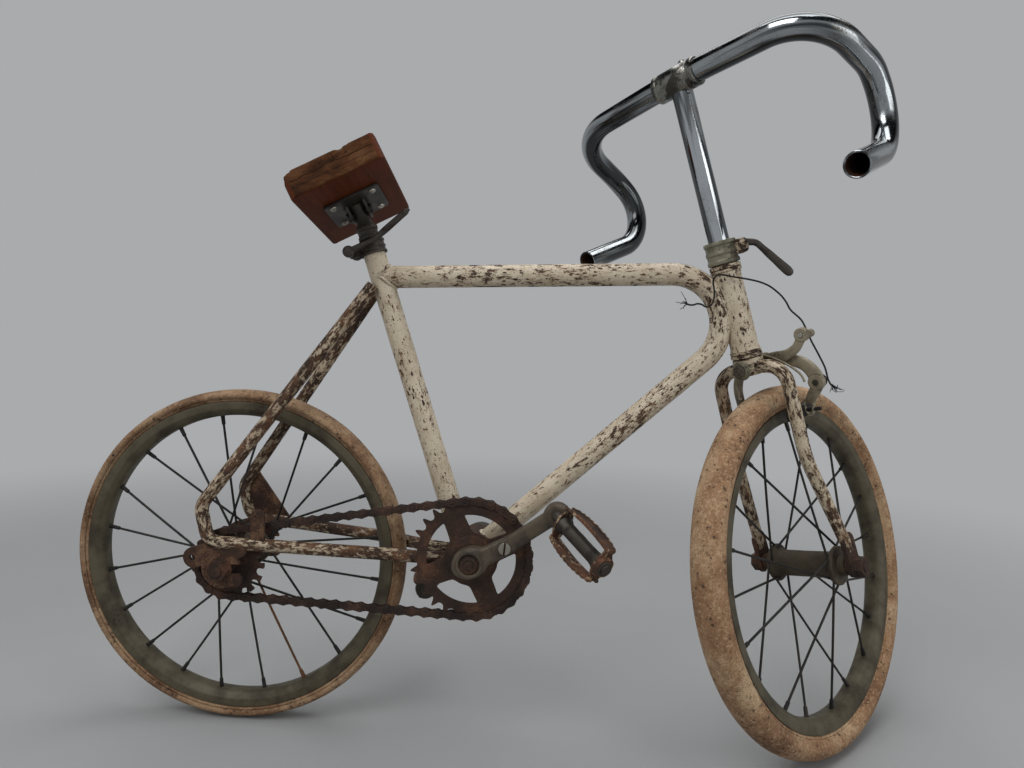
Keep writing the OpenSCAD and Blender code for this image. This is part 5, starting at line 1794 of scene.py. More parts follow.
@dataclass
class Chainring:
    """The toothed ring with its four rounded windows and its raised middle."""

    pitch: float = 12.7
    teeth: int = 28
    line: float = 34.0
    thick: float = 2.6
    tip: float = 3.5
    gullet: float = 4.05
    window_in: float = 26.5
    window_out: float = 43.5
    window_half: float = 31.0
    window_start: float = 69.0
    disc_r: float = 23.5

    def outline(self, first: float) -> list[tuple[float, float]]:
        """Return the toothed edge, with a gullet at every pin.

        Args:
            first: The angle of one pin.

        Returns:
            The closed outline.
        """
        radius = self.pitch / 2.0 / math.sin(math.pi / self.teeth)
        half = math.pi / self.teeth
        points: list[tuple[float, float]] = []
        for i in range(self.teeth):
            turn = first + i * 2.0 * half
            out, side = Vector((math.cos(turn), math.sin(turn))), Vector((-math.sin(turn), math.cos(turn)))
            for k in range(7):
                bend = math.radians(262.0 - 164.0 * k / 6.0)
                spot = out * (radius + self.gullet * math.cos(bend)) + side * self.gullet * math.sin(bend)
                points.append((spot.x, spot.y))
            for share, reach in ((0.85, self.tip * 0.8), (0.96, self.tip), (1.06, self.tip),
                                 (1.16, self.tip * 0.7)):
                at = turn + half * share
                points.append(((radius + reach) * math.cos(at), (radius + reach) * math.sin(at)))
        return points

    def window(self, centre: float) -> list[tuple[float, float]]:
        """Return one rounded window about an angle in degrees.

        Args:
            centre: The angle of its middle, in degrees.

        Returns:
            The outline.
        """
        outer = [(self.window_out, centre - self.window_half + self.window_half * k / 5.0) for k in range(11)]
        inner = [(self.window_in, centre + self.window_half * share) for share in (0.62, 0.0, -0.62)]
        corners = [(r * math.cos(math.radians(a)), r * math.sin(math.radians(a))) for r, a in outer + inner]
        return rounded(corners, 3.2)

    def build(self, finishes: Finishes) -> None:
        """Make the ring.

        Args:
            finishes: The bicycle's materials.
        """
        mesh = Mesh()
        loops = [self.outline(Chain().first_ring_pin())]
        loops += [self.window(self.window_start + 90.0 * i) for i in range(4)]
        middle = CRANK + Vector((0, -self.line, 0))
        plate(mesh, loops, middle, Vector((1, 0, 0)), Vector((0, 0, 1)), self.thick, 0.45)
        r = self.disc_r
        lathe(mesh, [(9.0, 1.0), (r - 4.0, 1.2), (r, 1.5), (r, 0.0), (r - 1.0, -2.6), (r - 3.0, -3.2),
                     (9.0, -3.4)],
              middle, Vector((0, 1, 0)), 56, wander=0.15)
        mesh.build("chainring_plate", Body.CRANKSET, [finishes.rust], ground_matrix(), ["chainring"],
                   "rusty_steel",
                   smooth=35.0)


@dataclass
class Cranks:
    """The two forged crank arms, with their bosses, recessed nuts and slotted screw."""

    boss_y: float = 45.0
    flare: float = 12.0
    length: float = 97.0
    angle: float = 33.0
    boss_r: float = 15.8
    eye_r: float = 11.6

    def arm(self, angle: float) -> Vector:
        """Return the direction at an angle above the front."""
        turn = math.radians(angle)
        return Vector((math.cos(turn), 0, math.sin(turn)))

    def forging(self, mesh: Mesh, root: Vector, knee: Vector, eye: Vector, seed: float) -> None:
        """Add an arm whose oval boss and round eye flow into its shank.

        Args:
            mesh: Where the arm is added.
            root: The boss's middle.
            knee: Where the arm bends outward.
            eye: The eye's middle.
            seed: Shifts the roughness.
        """
        start = root - (knee - root).normalized() * (self.boss_r + 1.5)
        stop = eye + (eye - knee).normalized() * self.eye_r
        path = smooth_path([start, knee, stop], [60.0], 1.6)
        total = sum((b - a).length for a, b in zip(path, path[1:]))
        neck_in, neck_out = 9.4, 7.6

        def size(t: float) -> tuple[float, float]:
            """Return the arm's half width and half thickness at a share of its length.

            Args:
                t: The share of the length, from 0 to 1.

            Returns:
                The half width and the half thickness.
            """
            u = t * total - self.boss_r - 1.5
            e = (1.0 - t) * total - self.eye_r
            boss = 15.3 * math.sqrt(max(0.0, 1.0 - (u / (self.boss_r + 2.0)) ** 2))
            hub = self.eye_r * math.sqrt(max(0.0, 1.0 - (e / self.eye_r) ** 2))
            between = 0.0 if u < 0.0 or e < 0.0 else neck_in + (neck_out - neck_in) * min(1.0, u / 60.0)
            wide = (boss ** 6 + hub ** 6 + between ** 6) ** (1.0 / 6.0)
            near = max(0.0, 1.0 - abs(u) / 24.0)
            far = max(0.0, 1.0 - abs(e) / 15.0)
            tall = 5.2 + 2.3 * min(1.0, near * 2.0) + 1.0 * min(1.0, far * 2.0)
            return (max(0.6, wide), tall)

        sweep(mesh, path, size, 36, power=3.6, rough=0.12, seed=seed)

    def boss(self, mesh: Mesh, root: Vector, out: Vector) -> None:
        """Add the boss's raised rim, its recess and the rusty nut in it.

        Args:
            mesh: Where the shape is added.
            root: The middle of the crank's boss, on the axle's line.
            out: The direction away from the bicycle.
        """
        lathe(mesh, [(9.6, 6.9), (9.8, 8.4), (10.6, 9.0), (12.6, 8.8), (13.8, 7.2)], root, out, 44,
              wander=0.12)
        lathe(mesh, [(0.1, 7.45), (10.4, 7.45)], root, out, 32, slot=1)
        bolt_head(mesh, root + out * 7.2, out, 13.4, 3.6, 6, slot=1)
        lathe(mesh, [(0.1, 12.6), (3.6, 12.4), (4.2, 11.8), (4.2, 8.0)], root, out, 24, slot=1)

    def screw(self, mesh: Mesh, at: Vector, out: Vector) -> None:
        """Add the bright slotted screw and the worn ring round it.

        Args:
            mesh: Where the shape is added.
            at: The point on the crank's middle line that the screw stands over.
            out: The direction away from the bicycle.
        """
        lathe(mesh, [(8.2, 4.4), (7.6, 5.7), (6.4, 6.0)], at, out, 32, slot=0)
        radius = 5.9
        along = self.arm(self.angle + 52.0)
        for side in (-1.0, 1.0):
            rim = [(radius * math.cos(t), side * radius * math.sin(t)) for t in
                   (math.asin(0.85 / radius) + (math.pi - 2.0 * math.asin(0.85 / radius)) * k / 14.0 for k in range(15))]
            if side < 0:
                rim.reverse()
            plate(mesh, [rim], at + out * 6.6, along, out.cross(along), 1.6, 0.35, slot=2)
        lathe(mesh, [(0.1, 6.2), (5.6, 6.2)], at, out, 24, slot=1)

    def build(self, finishes: Finishes) -> None:
        """Make both arms, with their nuts and the screw.

        Args:
            finishes: The bicycle's materials.
        """
        matrix = ground_matrix()
        out = Vector((0, -1, 0))
        slots = [finishes.grey_steel, finishes.rust, finishes.bright]
        root = CRANK + out * self.boss_y
        knee = root + self.arm(self.angle - 7.0) * 37.0
        eye = CRANK + self.arm(self.angle) * self.length + out * (self.boss_y + 1.0 + self.flare)
        right = Mesh()
        self.forging(right, root, knee, eye, 1.0)
        right.build("crank_right_arm", Body.CRANKSET, slots, matrix, ["crank_right"], "grey_steel")
        left = Mesh()
        left_root = CRANK - out * self.boss_y
        left_knee = CRANK + self.arm(216.0) * (self.length - 11.0) * 0.52 - out * (self.boss_y + 1.0 + self.flare * 0.45)
        left_eye = CRANK + self.arm(227.0) * (self.length - 11.0) - out * (self.boss_y + 1.0 + self.flare)
        self.forging(left, left_root, left_knee, left_eye, 5.0)
        left.build("crank_left_arm", Body.CRANKSET, [finishes.dark_steel], matrix, ["crank_left"],
                   "rusty_steel")
        nuts = Mesh()
        self.boss(nuts, root, out)
        self.boss(nuts, left_root, -out)
        self.screw(nuts, knee, out)
        nuts.build("crank_nut_set", Body.CRANKSET, slots, matrix, ["crank_nuts"], "grey_steel")


@dataclass
class Pedal:
    """One pedal: two bowed channel rails, an end plate at each end, barrel and dust cap."""

    name: str
    body: Body
    start: tuple[float, float, float]
    run: tuple[float, float, float]
    spin: float
    gap: float = 9.0
    length: float = 62.0
    rail_in: float = 14.8
    rail_out: float = 18.3

    def matrix(self) -> Matrix:
        """Return the matrix from the pedal's own frame, its pin along Z, to the model frame.

        Returns:
            The matrix.
        """
        run = Vector(self.run).normalized()
        turned = Matrix.Rotation(math.atan2(run.y, run.x), 4, "Z") @ Matrix.Rotation(math.acos(run.z), 4, "Y")
        return ground_matrix() @ Matrix.Translation(self.start) @ turned @ Matrix.Rotation(math.radians(self.spin), 4, "Z")

    def rail(self, mesh: Mesh, side: int) -> None:
        """Add one rail: a bowed channel, open outward, with teeth along its two lips.

        Args:
            mesh: Where the shape is added.
            side: Which of the two rails, -1 or 1.
        """
        steps = 42
        points: list[Vector] = []
        count = 0
        for k in range(steps + 1):
            t = k / steps
            bow = math.sin(math.pi * t)
            x = self.rail_in + (self.rail_out - self.rail_in) * bow ** 0.75
            half = 5.2 + 2.4 * bow ** 0.55
            lip = 1.5 + (0.5 if k % 4 < 2 else 0.0)
            wave = 0.25 * noise.noise(Vector((k * 0.4, side * 3.0, 0.0)))
            section = [(x - 1.6, -half + 1.4), (x - 1.6, half - 1.4), (x - 0.7, half), (x + lip, half + wave),
                       (x + lip, half - 1.7), (x - 0.1, half - 2.3), (x - 0.1, -half + 2.3),
                       (x + lip, -half + 1.7),
                       (x + lip, -half + wave), (x - 0.7, -half)]
            count = len(section)
            z = self.gap - 1.0 + (self.length + 2.0) * t
            points.extend(Vector((side * px, py, z)) for px, py in section)
        faces: list[tuple[int, ...]] = [tuple(range(count)),
                                        tuple(steps * count + i for i in range(count - 1, -1, -1))]
        hollow: list[tuple[int, ...]] = []
        for k in range(steps):
            for i in range(count):
                a, b = k * count + i, k * count + (i + 1) % count
                quad = (a, b, b + count, a + count)
                (hollow if 4 <= i <= 6 else faces).append(quad if side < 0 else quad[::-1])
        first = len(mesh.points)
        mesh.add(points, faces)
        mesh.faces.extend(tuple(i + first for i in face) for face in hollow)
        mesh.slots.extend([1] * len(hollow))

    def end_plate(self, mesh: Mesh, level: float, half: float, tall: float, hole: float) -> None:
        """Add a waisted plate across the pedal, with a hole for the barrel.

        Args:
            mesh: Where it is added.
            level: Its place along the pin.
            half: Half its length.
            tall: Half its height round the hole.
            hole: The hole's radius.
        """
        corners = [(-half, -5.0), (-half + 5.0, -5.6), (-7.5, -tall + 1.0), (0.0, -tall), (7.5, -tall + 1.0),
                   (half - 5.0, -5.6), (half, -5.0), (half, 5.0), (half - 5.0, 5.6), (7.5, tall - 1.0),
                   (0.0, tall),
                   (-7.5, tall - 1.0), (-half + 5.0, 5.6), (-half, 5.0)]
        plate(mesh, [rounded(corners, 3.0), circle(0.0, 0.0, hole)], Vector((0, 0, level)), Vector((1, 0, 0)),
              Vector((0, 1, 0)), 2.4, 0.5)

    def build(self, finishes: Finishes) -> None:
        """Make the cage and the barrel.

        Args:
            finishes: The bicycle's materials.
        """
        cage = Mesh()
        for side in (-1, 1):
            self.rail(cage, side)
        self.end_plate(cage, self.gap + 1.2, self.rail_in + 1.0, 9.0, 6.4)
        far = self.gap + self.length
        self.end_plate(cage, far - 1.2, self.rail_in + 1.0, 9.6, 6.0)
        ring = [Vector((0, 0, far - 0.4 + k)) for k in (0.0, 1.4, 2.8, 4.2)]
        sweep(cage, ring, lambda t: (9.3 - 0.9 * t * t, 9.3 - 0.9 * t * t), 40, power=3.0, rough=0.2,
              seed=3.0)
        painted = self.body is Body.PEDAL_RIGHT
        outer = finishes.paint_pedal if painted else finishes.rust_warm
        cage.build(f"{self.name}_cage_rails", self.body, [outer, finishes.rust], self.matrix(),
                   [f"{self.name}_cage"], "painted_tube" if painted else "rusty_steel", smooth=35.0)
        barrel = Mesh()
        lathe(barrel, [(5.1, self.gap + 2.2), (8.6, self.gap + 2.2), (8.8, self.gap + 5.0),
                       (7.0, self.gap + 8.5),
                       (6.5, self.gap + 12.0), (6.4, far - 12.0), (7.0, far - 8.0), (8.2, far - 5.0),
                       (8.2, far - 2.2), (5.1, far - 2.2)], Vector((0, 0, 0)), Vector((0, 0, 1)), 40,
              wander=0.15)
        cap = [Vector((0, 0, far + 3.0 + k)) for k in (0.0, 0.9, 1.6, 2.0)]
        sweep(barrel, cap, lambda t: (6.9 - 1.1 * t * t, 6.9 - 1.1 * t * t), 36, power=2.8, seed=5.0)
        bolt_head(barrel, Vector((0, 0, far + 4.6)), Vector((0, 0, 1)), 6.6, 1.9, 6)
        lathe(barrel, [(0.1, far + 7.4), (1.9, far + 7.2), (2.3, far + 6.6), (2.3, far + 5.0)],
              Vector((0, 0, 0)),
              Vector((0, 0, 1)), 16)
        barrel.build(f"{self.name}_barrel_tube", self.body, [finishes.dark_steel], self.matrix(),
                     [f"{self.name}_barrel"], "rusty_steel", smooth=35.0)


@dataclass
class FrontBrake:
    """The side-pull brake: two cast arms on one bolt, their spring and the wire's anchor."""

    crown_z: float = -57.0

    def at(self, x: float, y: float, z: float) -> Vector:
        """Return a point ahead of, left of and above the crown's bolt."""
        return Vector((x, y, self.crown_z + z))

    def bar(self, mesh: Mesh, x: float, knots: Sequence[tuple[float, float]],
            widths: Sequence[tuple[float, float]],
            half_t: float = 2.4, slot: int = 0) -> None:
        """Add a cast bar that lies in one plane across the bolt.

        Args:
            mesh: Where it is added.
            x: The plane's place along the bolt.
            knots: The bar's line, left and up of the bolt.
            widths: Half widths at shares of its length.
            half_t: Half its thickness.
            slot: The material slot.
        """
        path = through([self.at(x, y, z) for y, z in knots], 5)
        sweep(mesh, path, lambda t: (read_off(widths, t), half_t), 18, power=2.7, rough=0.15, seed=x,
              up=Vector((1, 0, 0)), slot=slot)

    def knob(self, mesh: Mesh, x: float, y: float, z: float, outline: Sequence[tuple[float, float]],
             slot: int = 0,
             count: int = 32) -> None:
        """Add a turned shape whose axis is parallel to the bolt."""
        lathe(mesh, outline, self.at(x, y, z), Vector((1, 0, 0)), count, slot=slot)

    def arms(self, finishes: Finishes) -> None:
        """Make both arms.

        Args:
            finishes: The materials to give the pieces.
        """
        rear = Mesh()
        self.bar(rear, 26.5, [(2, 0), (-12, 2), (-26, 3.5), (-38, 9), (-46, 20)],
                 [(0.0, 8.4), (0.3, 6.4), (0.6, 4.8), (0.85, 4.4), (1.0, 5.6)])
        self.bar(rear, 26.5, [(-46, 20), (-51, 20.5), (-54, 20)], [(0.0, 4.6), (1.0, 3.4)])
        self.bar(rear, 26.5, [(-2, 0), (14, -2), (27, -8), (34, -22), (35, -38), (33, -54)],
                 [(0.0, 8.4), (0.25, 6.2), (0.5, 5.2), (0.8, 4.8), (1.0, 5.4)])
        boss = [(2.6, -3.2), (6.2, -3.2), (6.9, -2.5), (6.9, 2.5), (6.2, 3.2), (2.6, 3.2)]
        self.knob(rear, 26.5, -46, 20, boss)
        self.knob(rear, 26.5, -54, 20,
                  [(0.1, -2.8), (3.4, -2.8), (3.9, -2.2), (3.9, 2.2), (3.4, 2.8), (0.1, 2.8)])
        self.knob(rear, 26.5, 0, 0,
                  [(4.0, -2.5), (8.6, -2.5), (9.0, -2.0), (9.0, 2.0), (8.6, 2.5), (4.0, 2.5)])
        rear.build("brake_arm_rear_casting", Body.STEERING, [finishes.alloy], steering_matrix(),
                   ["brake_arm_rear"],
                   "brake_alloy")
        front = Mesh()
        self.bar(front, 31.8,
                 [(2, 0), (-14, 0), (-28, -3), (-40, -10), (-47, -22), (-46, -32), (-40, -40), (-35, -47)],
                 [(0.0, 8.4), (0.22, 5.8), (0.5, 6.6), (0.7, 7.4), (0.85, 5.6), (1.0, 4.8)])
        self.knob(front, 31.8, 0, 0,
                  [(4.0, -2.5), (8.6, -2.5), (9.0, -1.9), (9.0, 2.0), (8.6, 2.5), (4.0, 2.5)])
        self.knob(front, 31.8, -47, -28,
                  [(3.0, -2.9), (7.4, -2.9), (8.0, -2.3), (8.0, 2.1), (7.4, 2.6), (3.0, 2.6)])
        loop = [self.at(31.8, -33.5 + 5.0 * math.sin(t) * (1.0 if math.cos(t) > 0 else 0.85),
                        -51.0 + 7.6 * math.cos(t)) for t in (2.0 * math.pi * k / 40 for k in range(42))]
        sweep(front, loop, lambda t: (1.9, 2.1), 12, up=Vector((1, 0, 0)), slot=1)
        front.build("brake_arm_front_casting", Body.STEERING, [finishes.alloy, finishes.wire_pale],
                    steering_matrix(),
                    ["brake_arm_front"], "brake_alloy")

    def bolt(self, finishes: Finishes) -> None:
        """Make the bolt with its coil of washers and nuts on both sides of the crown.

        Args:
            finishes: The materials to give the pieces.
        """
        mesh = Mesh()
        self.knob(mesh, 0, 0, 0,
                  [(0.1, -24.0), (2.6, -24.0), (3.0, -23.4), (3.0, 41.4), (2.6, 42.0), (0.1, 42.0)])
        rings = ((-15.0, -16.4, 9.6), (-16.4, -17.6, 8.3), (-17.6, -18.8, 7.2))
        for near, far, radius in rings:
            middle = (near + far) / 2.0
            self.knob(mesh, 0, 0, 0,
                      [(2.8, near), (radius - 0.5, near), (radius, middle), (radius - 0.5, far),
                                      (2.8, far)], 1)
        bolt_head(mesh, self.at(-18.6, 0, 0), Vector((-1, 0, 0)), 10.6, 3.9, 6, slot=0)
        for near, far, radius in ((15.3, 17.4, 8.0), (17.4, 23.8, 5.6), (29.1, 29.4, 8.0)):
            self.knob(mesh, 0, 0, 0,
                      [(2.8, near), (radius - 0.4, near), (radius, near + 0.3), (radius, far - 0.3),
                                      (radius - 0.4, far), (2.8, far)], 1)
        bolt_head(mesh, self.at(34.4, 0, 0), Vector((1, 0, 0)), 12.0, 5.2, 6, slot=0)
        mesh.build("brake_bolt_stack", Body.STEERING, [finishes.grey_steel, finishes.collar],
                   steering_matrix(),
                   ["brake_bolt"], "rusty_steel", smooth=35.0)

    def spring(self, finishes: Finishes) -> None:
        """Make the return spring: a wire over the bolt, and the hook that hangs behind the crown.

        Args:
            finishes: The materials to give the pieces.
        """
        mesh = Mesh()
        line = [self.at(22.6, 31, -40), self.at(22.6, 30, -26), self.at(22.6, 24, -12), self.at(22.6, 12, 3),
                self.at(22.6, 0, 8), self.at(22.6, -12, 4), self.at(22.6, -26, -5), self.at(22.6, -37, -16),
                self.at(22.6, -40, -25)]
        sweep(mesh, through(line, 6), lambda t: (1.15, 1.15), 10)
        hook = [self.at(-17.0, 3.0, -7.5), self.at(-17.6, 7.6, -10.0), self.at(-17.2, 9.0, -15.5),
                self.at(-16.8, 8.0, -21.0), self.at(-17.2, 8.6, -25.5), self.at(-18.6, 7.2, -27.0),
                self.at(-19.4, 5.2, -26.4)]
        sweep(mesh, through(hook, 6), lambda t: (1.1, 1.1), 10)
        mesh.build("brake_spring_wire", Body.STEERING, [finishes.alloy], steering_matrix(), ["brake_spring"],
                   "brake_alloy")

    def anchor(self, finishes: Finishes) -> None:
        """Make the anchor bolt that grips the wire, and the guide bush at the upper arm's eye.

        Args:
            finishes: The materials to give the pieces.
        """
        mesh = Mesh()
        y, z = -47.0, -28.0
        self.knob(mesh, 0, y, z,
                  [(0.1, 27.2), (2.6, 27.2), (2.9, 27.8), (2.9, 44.6), (2.5, 45.0), (0.1, 45.0)])
        bolt_head(mesh, self.at(34.5, y, z), Vector((1, 0, 0)), 12.0, 4.8, 6)
        self.knob(mesh, 0, y, z, [(2.8, 39.3), (6.4, 39.3), (6.8, 39.8), (6.4, 40.6), (2.8, 40.6)])
        self.knob(mesh, 0, -46, 20,
                  [(0.1, 22.2), (2.2, 22.2), (2.4, 22.8), (2.4, 29.6), (4.4, 29.9), (4.8, 30.6),
                                     (4.2, 31.0), (0.1, 31.0)], 1)
        mesh.build("cable_anchor_bolt", Body.STEERING, [finishes.dark_steel, finishes.bright],
                   steering_matrix(),
                   ["cable_anchor"], "rusty_steel", smooth=35.0)

    def build(self, finishes: Finishes) -> None:
        """Make the whole brake.

        Args:
            finishes: The materials to give the pieces.
        """
        self.arms(finishes)
        self.bolt(finishes)
        self.spring(finishes)
        self.anchor(finishes)


@dataclass
class Clamps:
    """The headset's cups, the stem's clamp and the seat post's clamp, with both levers."""

    clamp_z: float = 47.3
    clamp_turn: float = -53.0
    clamp_r: float = 15.5
    bore_r: float = 12.8
    cup_r: float = 15.0

    def stem_matrix(self) -> Matrix:
        """Return the matrix from the stem clamp's own frame to the model frame."""
        turn = Matrix.Rotation(math.radians(self.clamp_turn), 4, "Z")
        return steering_matrix() @ Matrix.Translation((0, 0, self.clamp_z)) @ turn

    def seat_matrix(self) -> Matrix:
        """Return the matrix from the seat clamp's own frame, X forward, to the model frame.

        Returns:
            The matrix.
        """
        tubes = FrameTubes()
        foot = Vector((tubes.seat_x(478.0), 0, 478.0))
        lean = Matrix.Rotation(math.radians(-18.0), 4, "Y")
        return ground_matrix() @ Matrix.Translation(foot) @ lean

    def headset(self, finishes: Finishes) -> None:
        """Make the two cups, painted over, with a rusty seam round each.

        Args:
            finishes: The materials to give the pieces.
        """
        mesh = Mesh()
        c, b = self.cup_r, self.bore_r
        for side in (-1.0, 1.0):
            rows = [(b, 39.2, 0), (c - 0.5, 39.2, 0), (c, 39.7, 0), (c, 41.6, 1), (c - 0.7, 41.9, 1),
                    (c - 0.7, 42.5, 0), (c, 42.8, 0), (c, 45.6, 0), (c - 0.6, 46.0, 1), (c - 1.6, 46.6, 1),
                    (b, 46.7, 1)]
            for (r0, z0, slot), (r1, z1, _) in zip(rows, rows[1:]):
                lathe(mesh, [(r0, side * z0), (r1, side * z1)], Vector((0, 0, 0)), Vector((0, 0, 1)), 56,
                      slot=slot)
        mesh.build("headset_cup_pair", Body.FRAME, [finishes.paint_solid, finishes.rust_warm],
                   steering_matrix(),
                   ["headset_cups"], "painted_tube")

    def ribbed_collar(self, mesh: Mesh, radius: float, bore: float, height: float) -> None:
        """Add a collar with a rib at each end and one round its middle.

        Args:
            mesh: Where the shape is added.
            radius: The outer radius, in millimetres.
            bore: The inner radius, in millimetres.
            height: The height, in millimetres.
        """
        h = height
        low = radius - 0.95
        outline = [(bore, 0.0), (radius - 0.3, 0.0), (radius, 0.06 * h), (radius, 0.15 * h), (low, 0.2 * h),
                   (low, 0.39 * h), (radius - 0.2, 0.43 * h), (radius - 0.2, 0.55 * h), (low, 0.6 * h),
                   (low, 0.8 * h), (radius, 0.85 * h), (radius, 0.95 * h), (radius - 0.4, h), (bore, h)]
        lathe(mesh, outline, Vector((0, 0, 0)), Vector((0, 0, 1)), 60, wander=0.15)

    def ear(self, mesh: Mesh, near: float, far: float, y: float, low: float, high: float, thick: float,
            slot: int = 0) -> None:
        """Add a clamp's ear, a rounded plate that stands out of the collar."""
        outline = rounded([(near, low), (far, low), (far, high), (near, high)], 4.0)
        plate(mesh, [outline], Vector((0, y, 0)), Vector((1, 0, 0)), Vector((0, 0, 1)), thick, 0.9, slot)

    def lever(self, mesh: Mesh, path: Sequence[Vector], widths: Sequence[tuple[float, float]],
              heights: Sequence[tuple[float, float]]) -> None:
        """Add a lever: a flattened bar with a rounded tip."""
        sweep(mesh, path, lambda t: (read_off(widths, t), read_off(heights, t)), 26, power=2.5, rough=0.12,
              seed=2.0)

    def stem_clamp(self, finishes: Finishes) -> None:
        """Make the stem's clamp and its lever.

        Args:
            finishes: The materials to give the pieces.
        """
        mesh = Mesh()
        self.ribbed_collar(mesh, self.clamp_r, self.bore_r, 22.0)
        for y in (-4.75, 4.75):
            self.ear(mesh, 10.0, 25.0, y, 6.0, 20.0, 4.4, slot=1)
        across = Vector((0, 1, 0))
        axle = Vector((19.5, 0, 13))
        lathe(mesh, [(0.1, -11.8), (3.0, -11.8), (3.0, 7.2), (5.2, 7.2), (5.6, 7.8), (5.6, 10.8), (5.0, 11.8),
                     (0.1, 12.0)], axle, across, 28, slot=2)
        mesh.build("stem_clamp_collar", Body.STEERING,
                   [finishes.collar, finishes.paint_solid, finishes.dark_steel],
                   self.stem_matrix(), ["stem_clamp"], "tarnished_rim", smooth=35.0)
        handle = Mesh()
        lathe(handle, [(0.1, -19.6), (3.4, -19.4), (4.6, -18.4), (4.9, -16.3), (4.6, -13.6), (3.4, -12.4),
                       (0.1, -12.4)],
              axle, across, 32, slot=1)
        path = smooth_path([Vector((20, -16.3, 14.6)), Vector((30.4, -16.3, 12)), Vector((55, -16.3, -26.5))],
                           [9.0], 2.0)
        self.lever(handle, path, [(0.0, 3.4), (0.3, 2.9), (0.55, 3.6), (0.9, 4.3), (0.97, 3.6), (1.0, 1.6)],
                   [(0.0, 3.2), (0.3, 2.7), (0.6, 2.6), (0.94, 2.5), (1.0, 1.3)])
        handle.build("stem_clamp_handle", Body.STEERING, [finishes.dark_steel, finishes.paint_solid],
                     self.stem_matrix(),
                     ["stem_clamp_lever"], "rusty_steel")

    def seat_clamp(self, finishes: Finishes) -> None:
        """Make the seat post's clamp and its lever.

        Args:
            finishes: The materials to give the pieces.
        """
        mesh = Mesh()
        self.ribbed_collar(mesh, 13.5, 9.3, 14.0)
        for y in (-5.5, 5.5):
            self.ear(mesh, -24.0, -10.5, y, 1.0, 13.0, 3.0)
        across = Vector((0, 1, 0))
        axle = Vector((-20, 0, 7))
        lathe(mesh, [(0.1, -14.8), (3.0, -14.8), (3.0, 8.0), (4.8, 8.0), (5.4, 8.8), (5.4, 13.6), (4.4, 14.8),
                     (0.1, 15.0)], axle, across, 28)
        mesh.build("seat_clamp_collar", Body.FRAME, [finishes.dark_steel], self.seat_matrix(), ["seat_clamp"],
                   "rusty_steel", smooth=35.0)
        handle = Mesh()
        lathe(handle, [(0.1, -21.2), (4.4, -21.2), (5.7, -20.2), (5.9, -18.3), (5.7, -16.2), (4.6, -15.5),
                       (0.1, -15.5)],
              axle, across, 32)
        path = smooth_path([Vector((-17, -18.3, 7.6)), Vector((8, -18.3, 11)), Vector((49, -18.3, 29))],
                           [16.0], 2.0)
        self.lever(handle, path, [(0.0, 3.0), (0.35, 2.7), (0.6, 3.3), (0.93, 3.1), (1.0, 1.4)],
                   [(0.0, 2.7), (0.4, 2.4), (0.7, 2.0), (0.95, 2.2), (1.0, 1.1)])
        handle.build("seat_clamp_handle", Body.FRAME, [finishes.dark_steel], self.seat_matrix(),
                     ["seat_clamp_lever"], "rusty_steel")

    def build(self, finishes: Finishes) -> None:
        """Make the headset and both clamps.

        Args:
            finishes: The materials to give the pieces.
        """
        self.headset(finishes)
        self.stem_clamp(finishes)
        self.seat_clamp(finishes)


@dataclass
class SaddleBracket:
    """The steel bracket under the board: plate, folded cheeks, neck and domed screws."""

    thick: float = 3.0
    screw_x: tuple[float, float] = (-20.0, 21.0)
    screw_y: float = 22.0

    def build(self, finishes: Finishes) -> None:
        """Make the bracket.

        Args:
            finishes: The bicycle's materials.
        """
        matrix = Saddle().matrix()
        mesh = Mesh()
        outline = rounded([(-28, -30), (29, -30), (29, 30), (-28, 30)], 4.0)
        plate(mesh, [outline], Vector((0, 0, -self.thick / 2.0)), Vector((1, 0, 0)), Vector((0, 1, 0)),
              self.thick - 0.1, 0.6)
        for x in self.screw_x:
            for y in (-self.screw_y, self.screw_y):
                dome = [(0.1, -5.2), (1.7, -5.0), (2.9, -4.4), (3.6, -3.5), (3.8, -2.9)]
                lathe(mesh, dome, Vector((x, y, 0)), Vector((0, 0, 1)), 28, slot=1)
        for x in (-9.0, 9.0):
            cheek = rounded([(-17, 0.5), (-9, -13), (9, -13), (17, 0.5)], 4.0)
            plate(mesh, [cheek], Vector((x, 0, -self.thick)), Vector((0, 1, 0)), Vector((0, 0, 1)), 2.6, 0.7)
        lathe(mesh, [(0.1, -13.4), (4.6, -13.4), (5.2, -12.6), (5.2, -10.4), (3.0, -10.2), (3.0, 10.2),
                     (5.2, 10.4),
                     (5.2, 12.6), (4.6, 13.4), (0.1, 13.4)], Vector((0, 0, -self.thick - 6.5)),
              Vector((1, 0, 0)), 24)
        mesh.build("saddle_bracket_plate", Body.FRAME, [finishes.plate, finishes.bright], matrix,
                   ["saddle_bracket"], "rusty_steel", smooth=35.0)
        neck = Mesh()
        tubes = FrameTubes()
        foot = Vector((tubes.seat_x(492.6), 0, 492.6))
        ring_top = Vector((tubes.seat_x(506.0), 0, 506.0))
        up = (ring_top - foot).normalized()
        lathe(neck, [(9.3, 0.0), (10.6, 0.0), (11.0, 0.6), (11.0, 3.4), (10.0, 4.2), (10.0, 8.6), (10.9, 9.4),
                     (10.9, 12.6), (9.8, 14.0), (0.1, 14.0)], foot, up, 44, wander=0.2)
        top = Vector((115.0, 0.0, 525.0))
        sweep(neck, through([foot + up * 9.0, foot + up * 16.0, top], 6),
              lambda t: (read_off([(0.0, 9.6), (0.5, 7.0), (0.85, 7.0), (1.0, 9.0)], t),) * 2, 28, power=2.4,
              rough=0.3, seed=6.0)
        neck.build("saddle_bracket_neck", Body.FRAME, [finishes.dark_steel], ground_matrix(), [],
                   "rusty_steel")


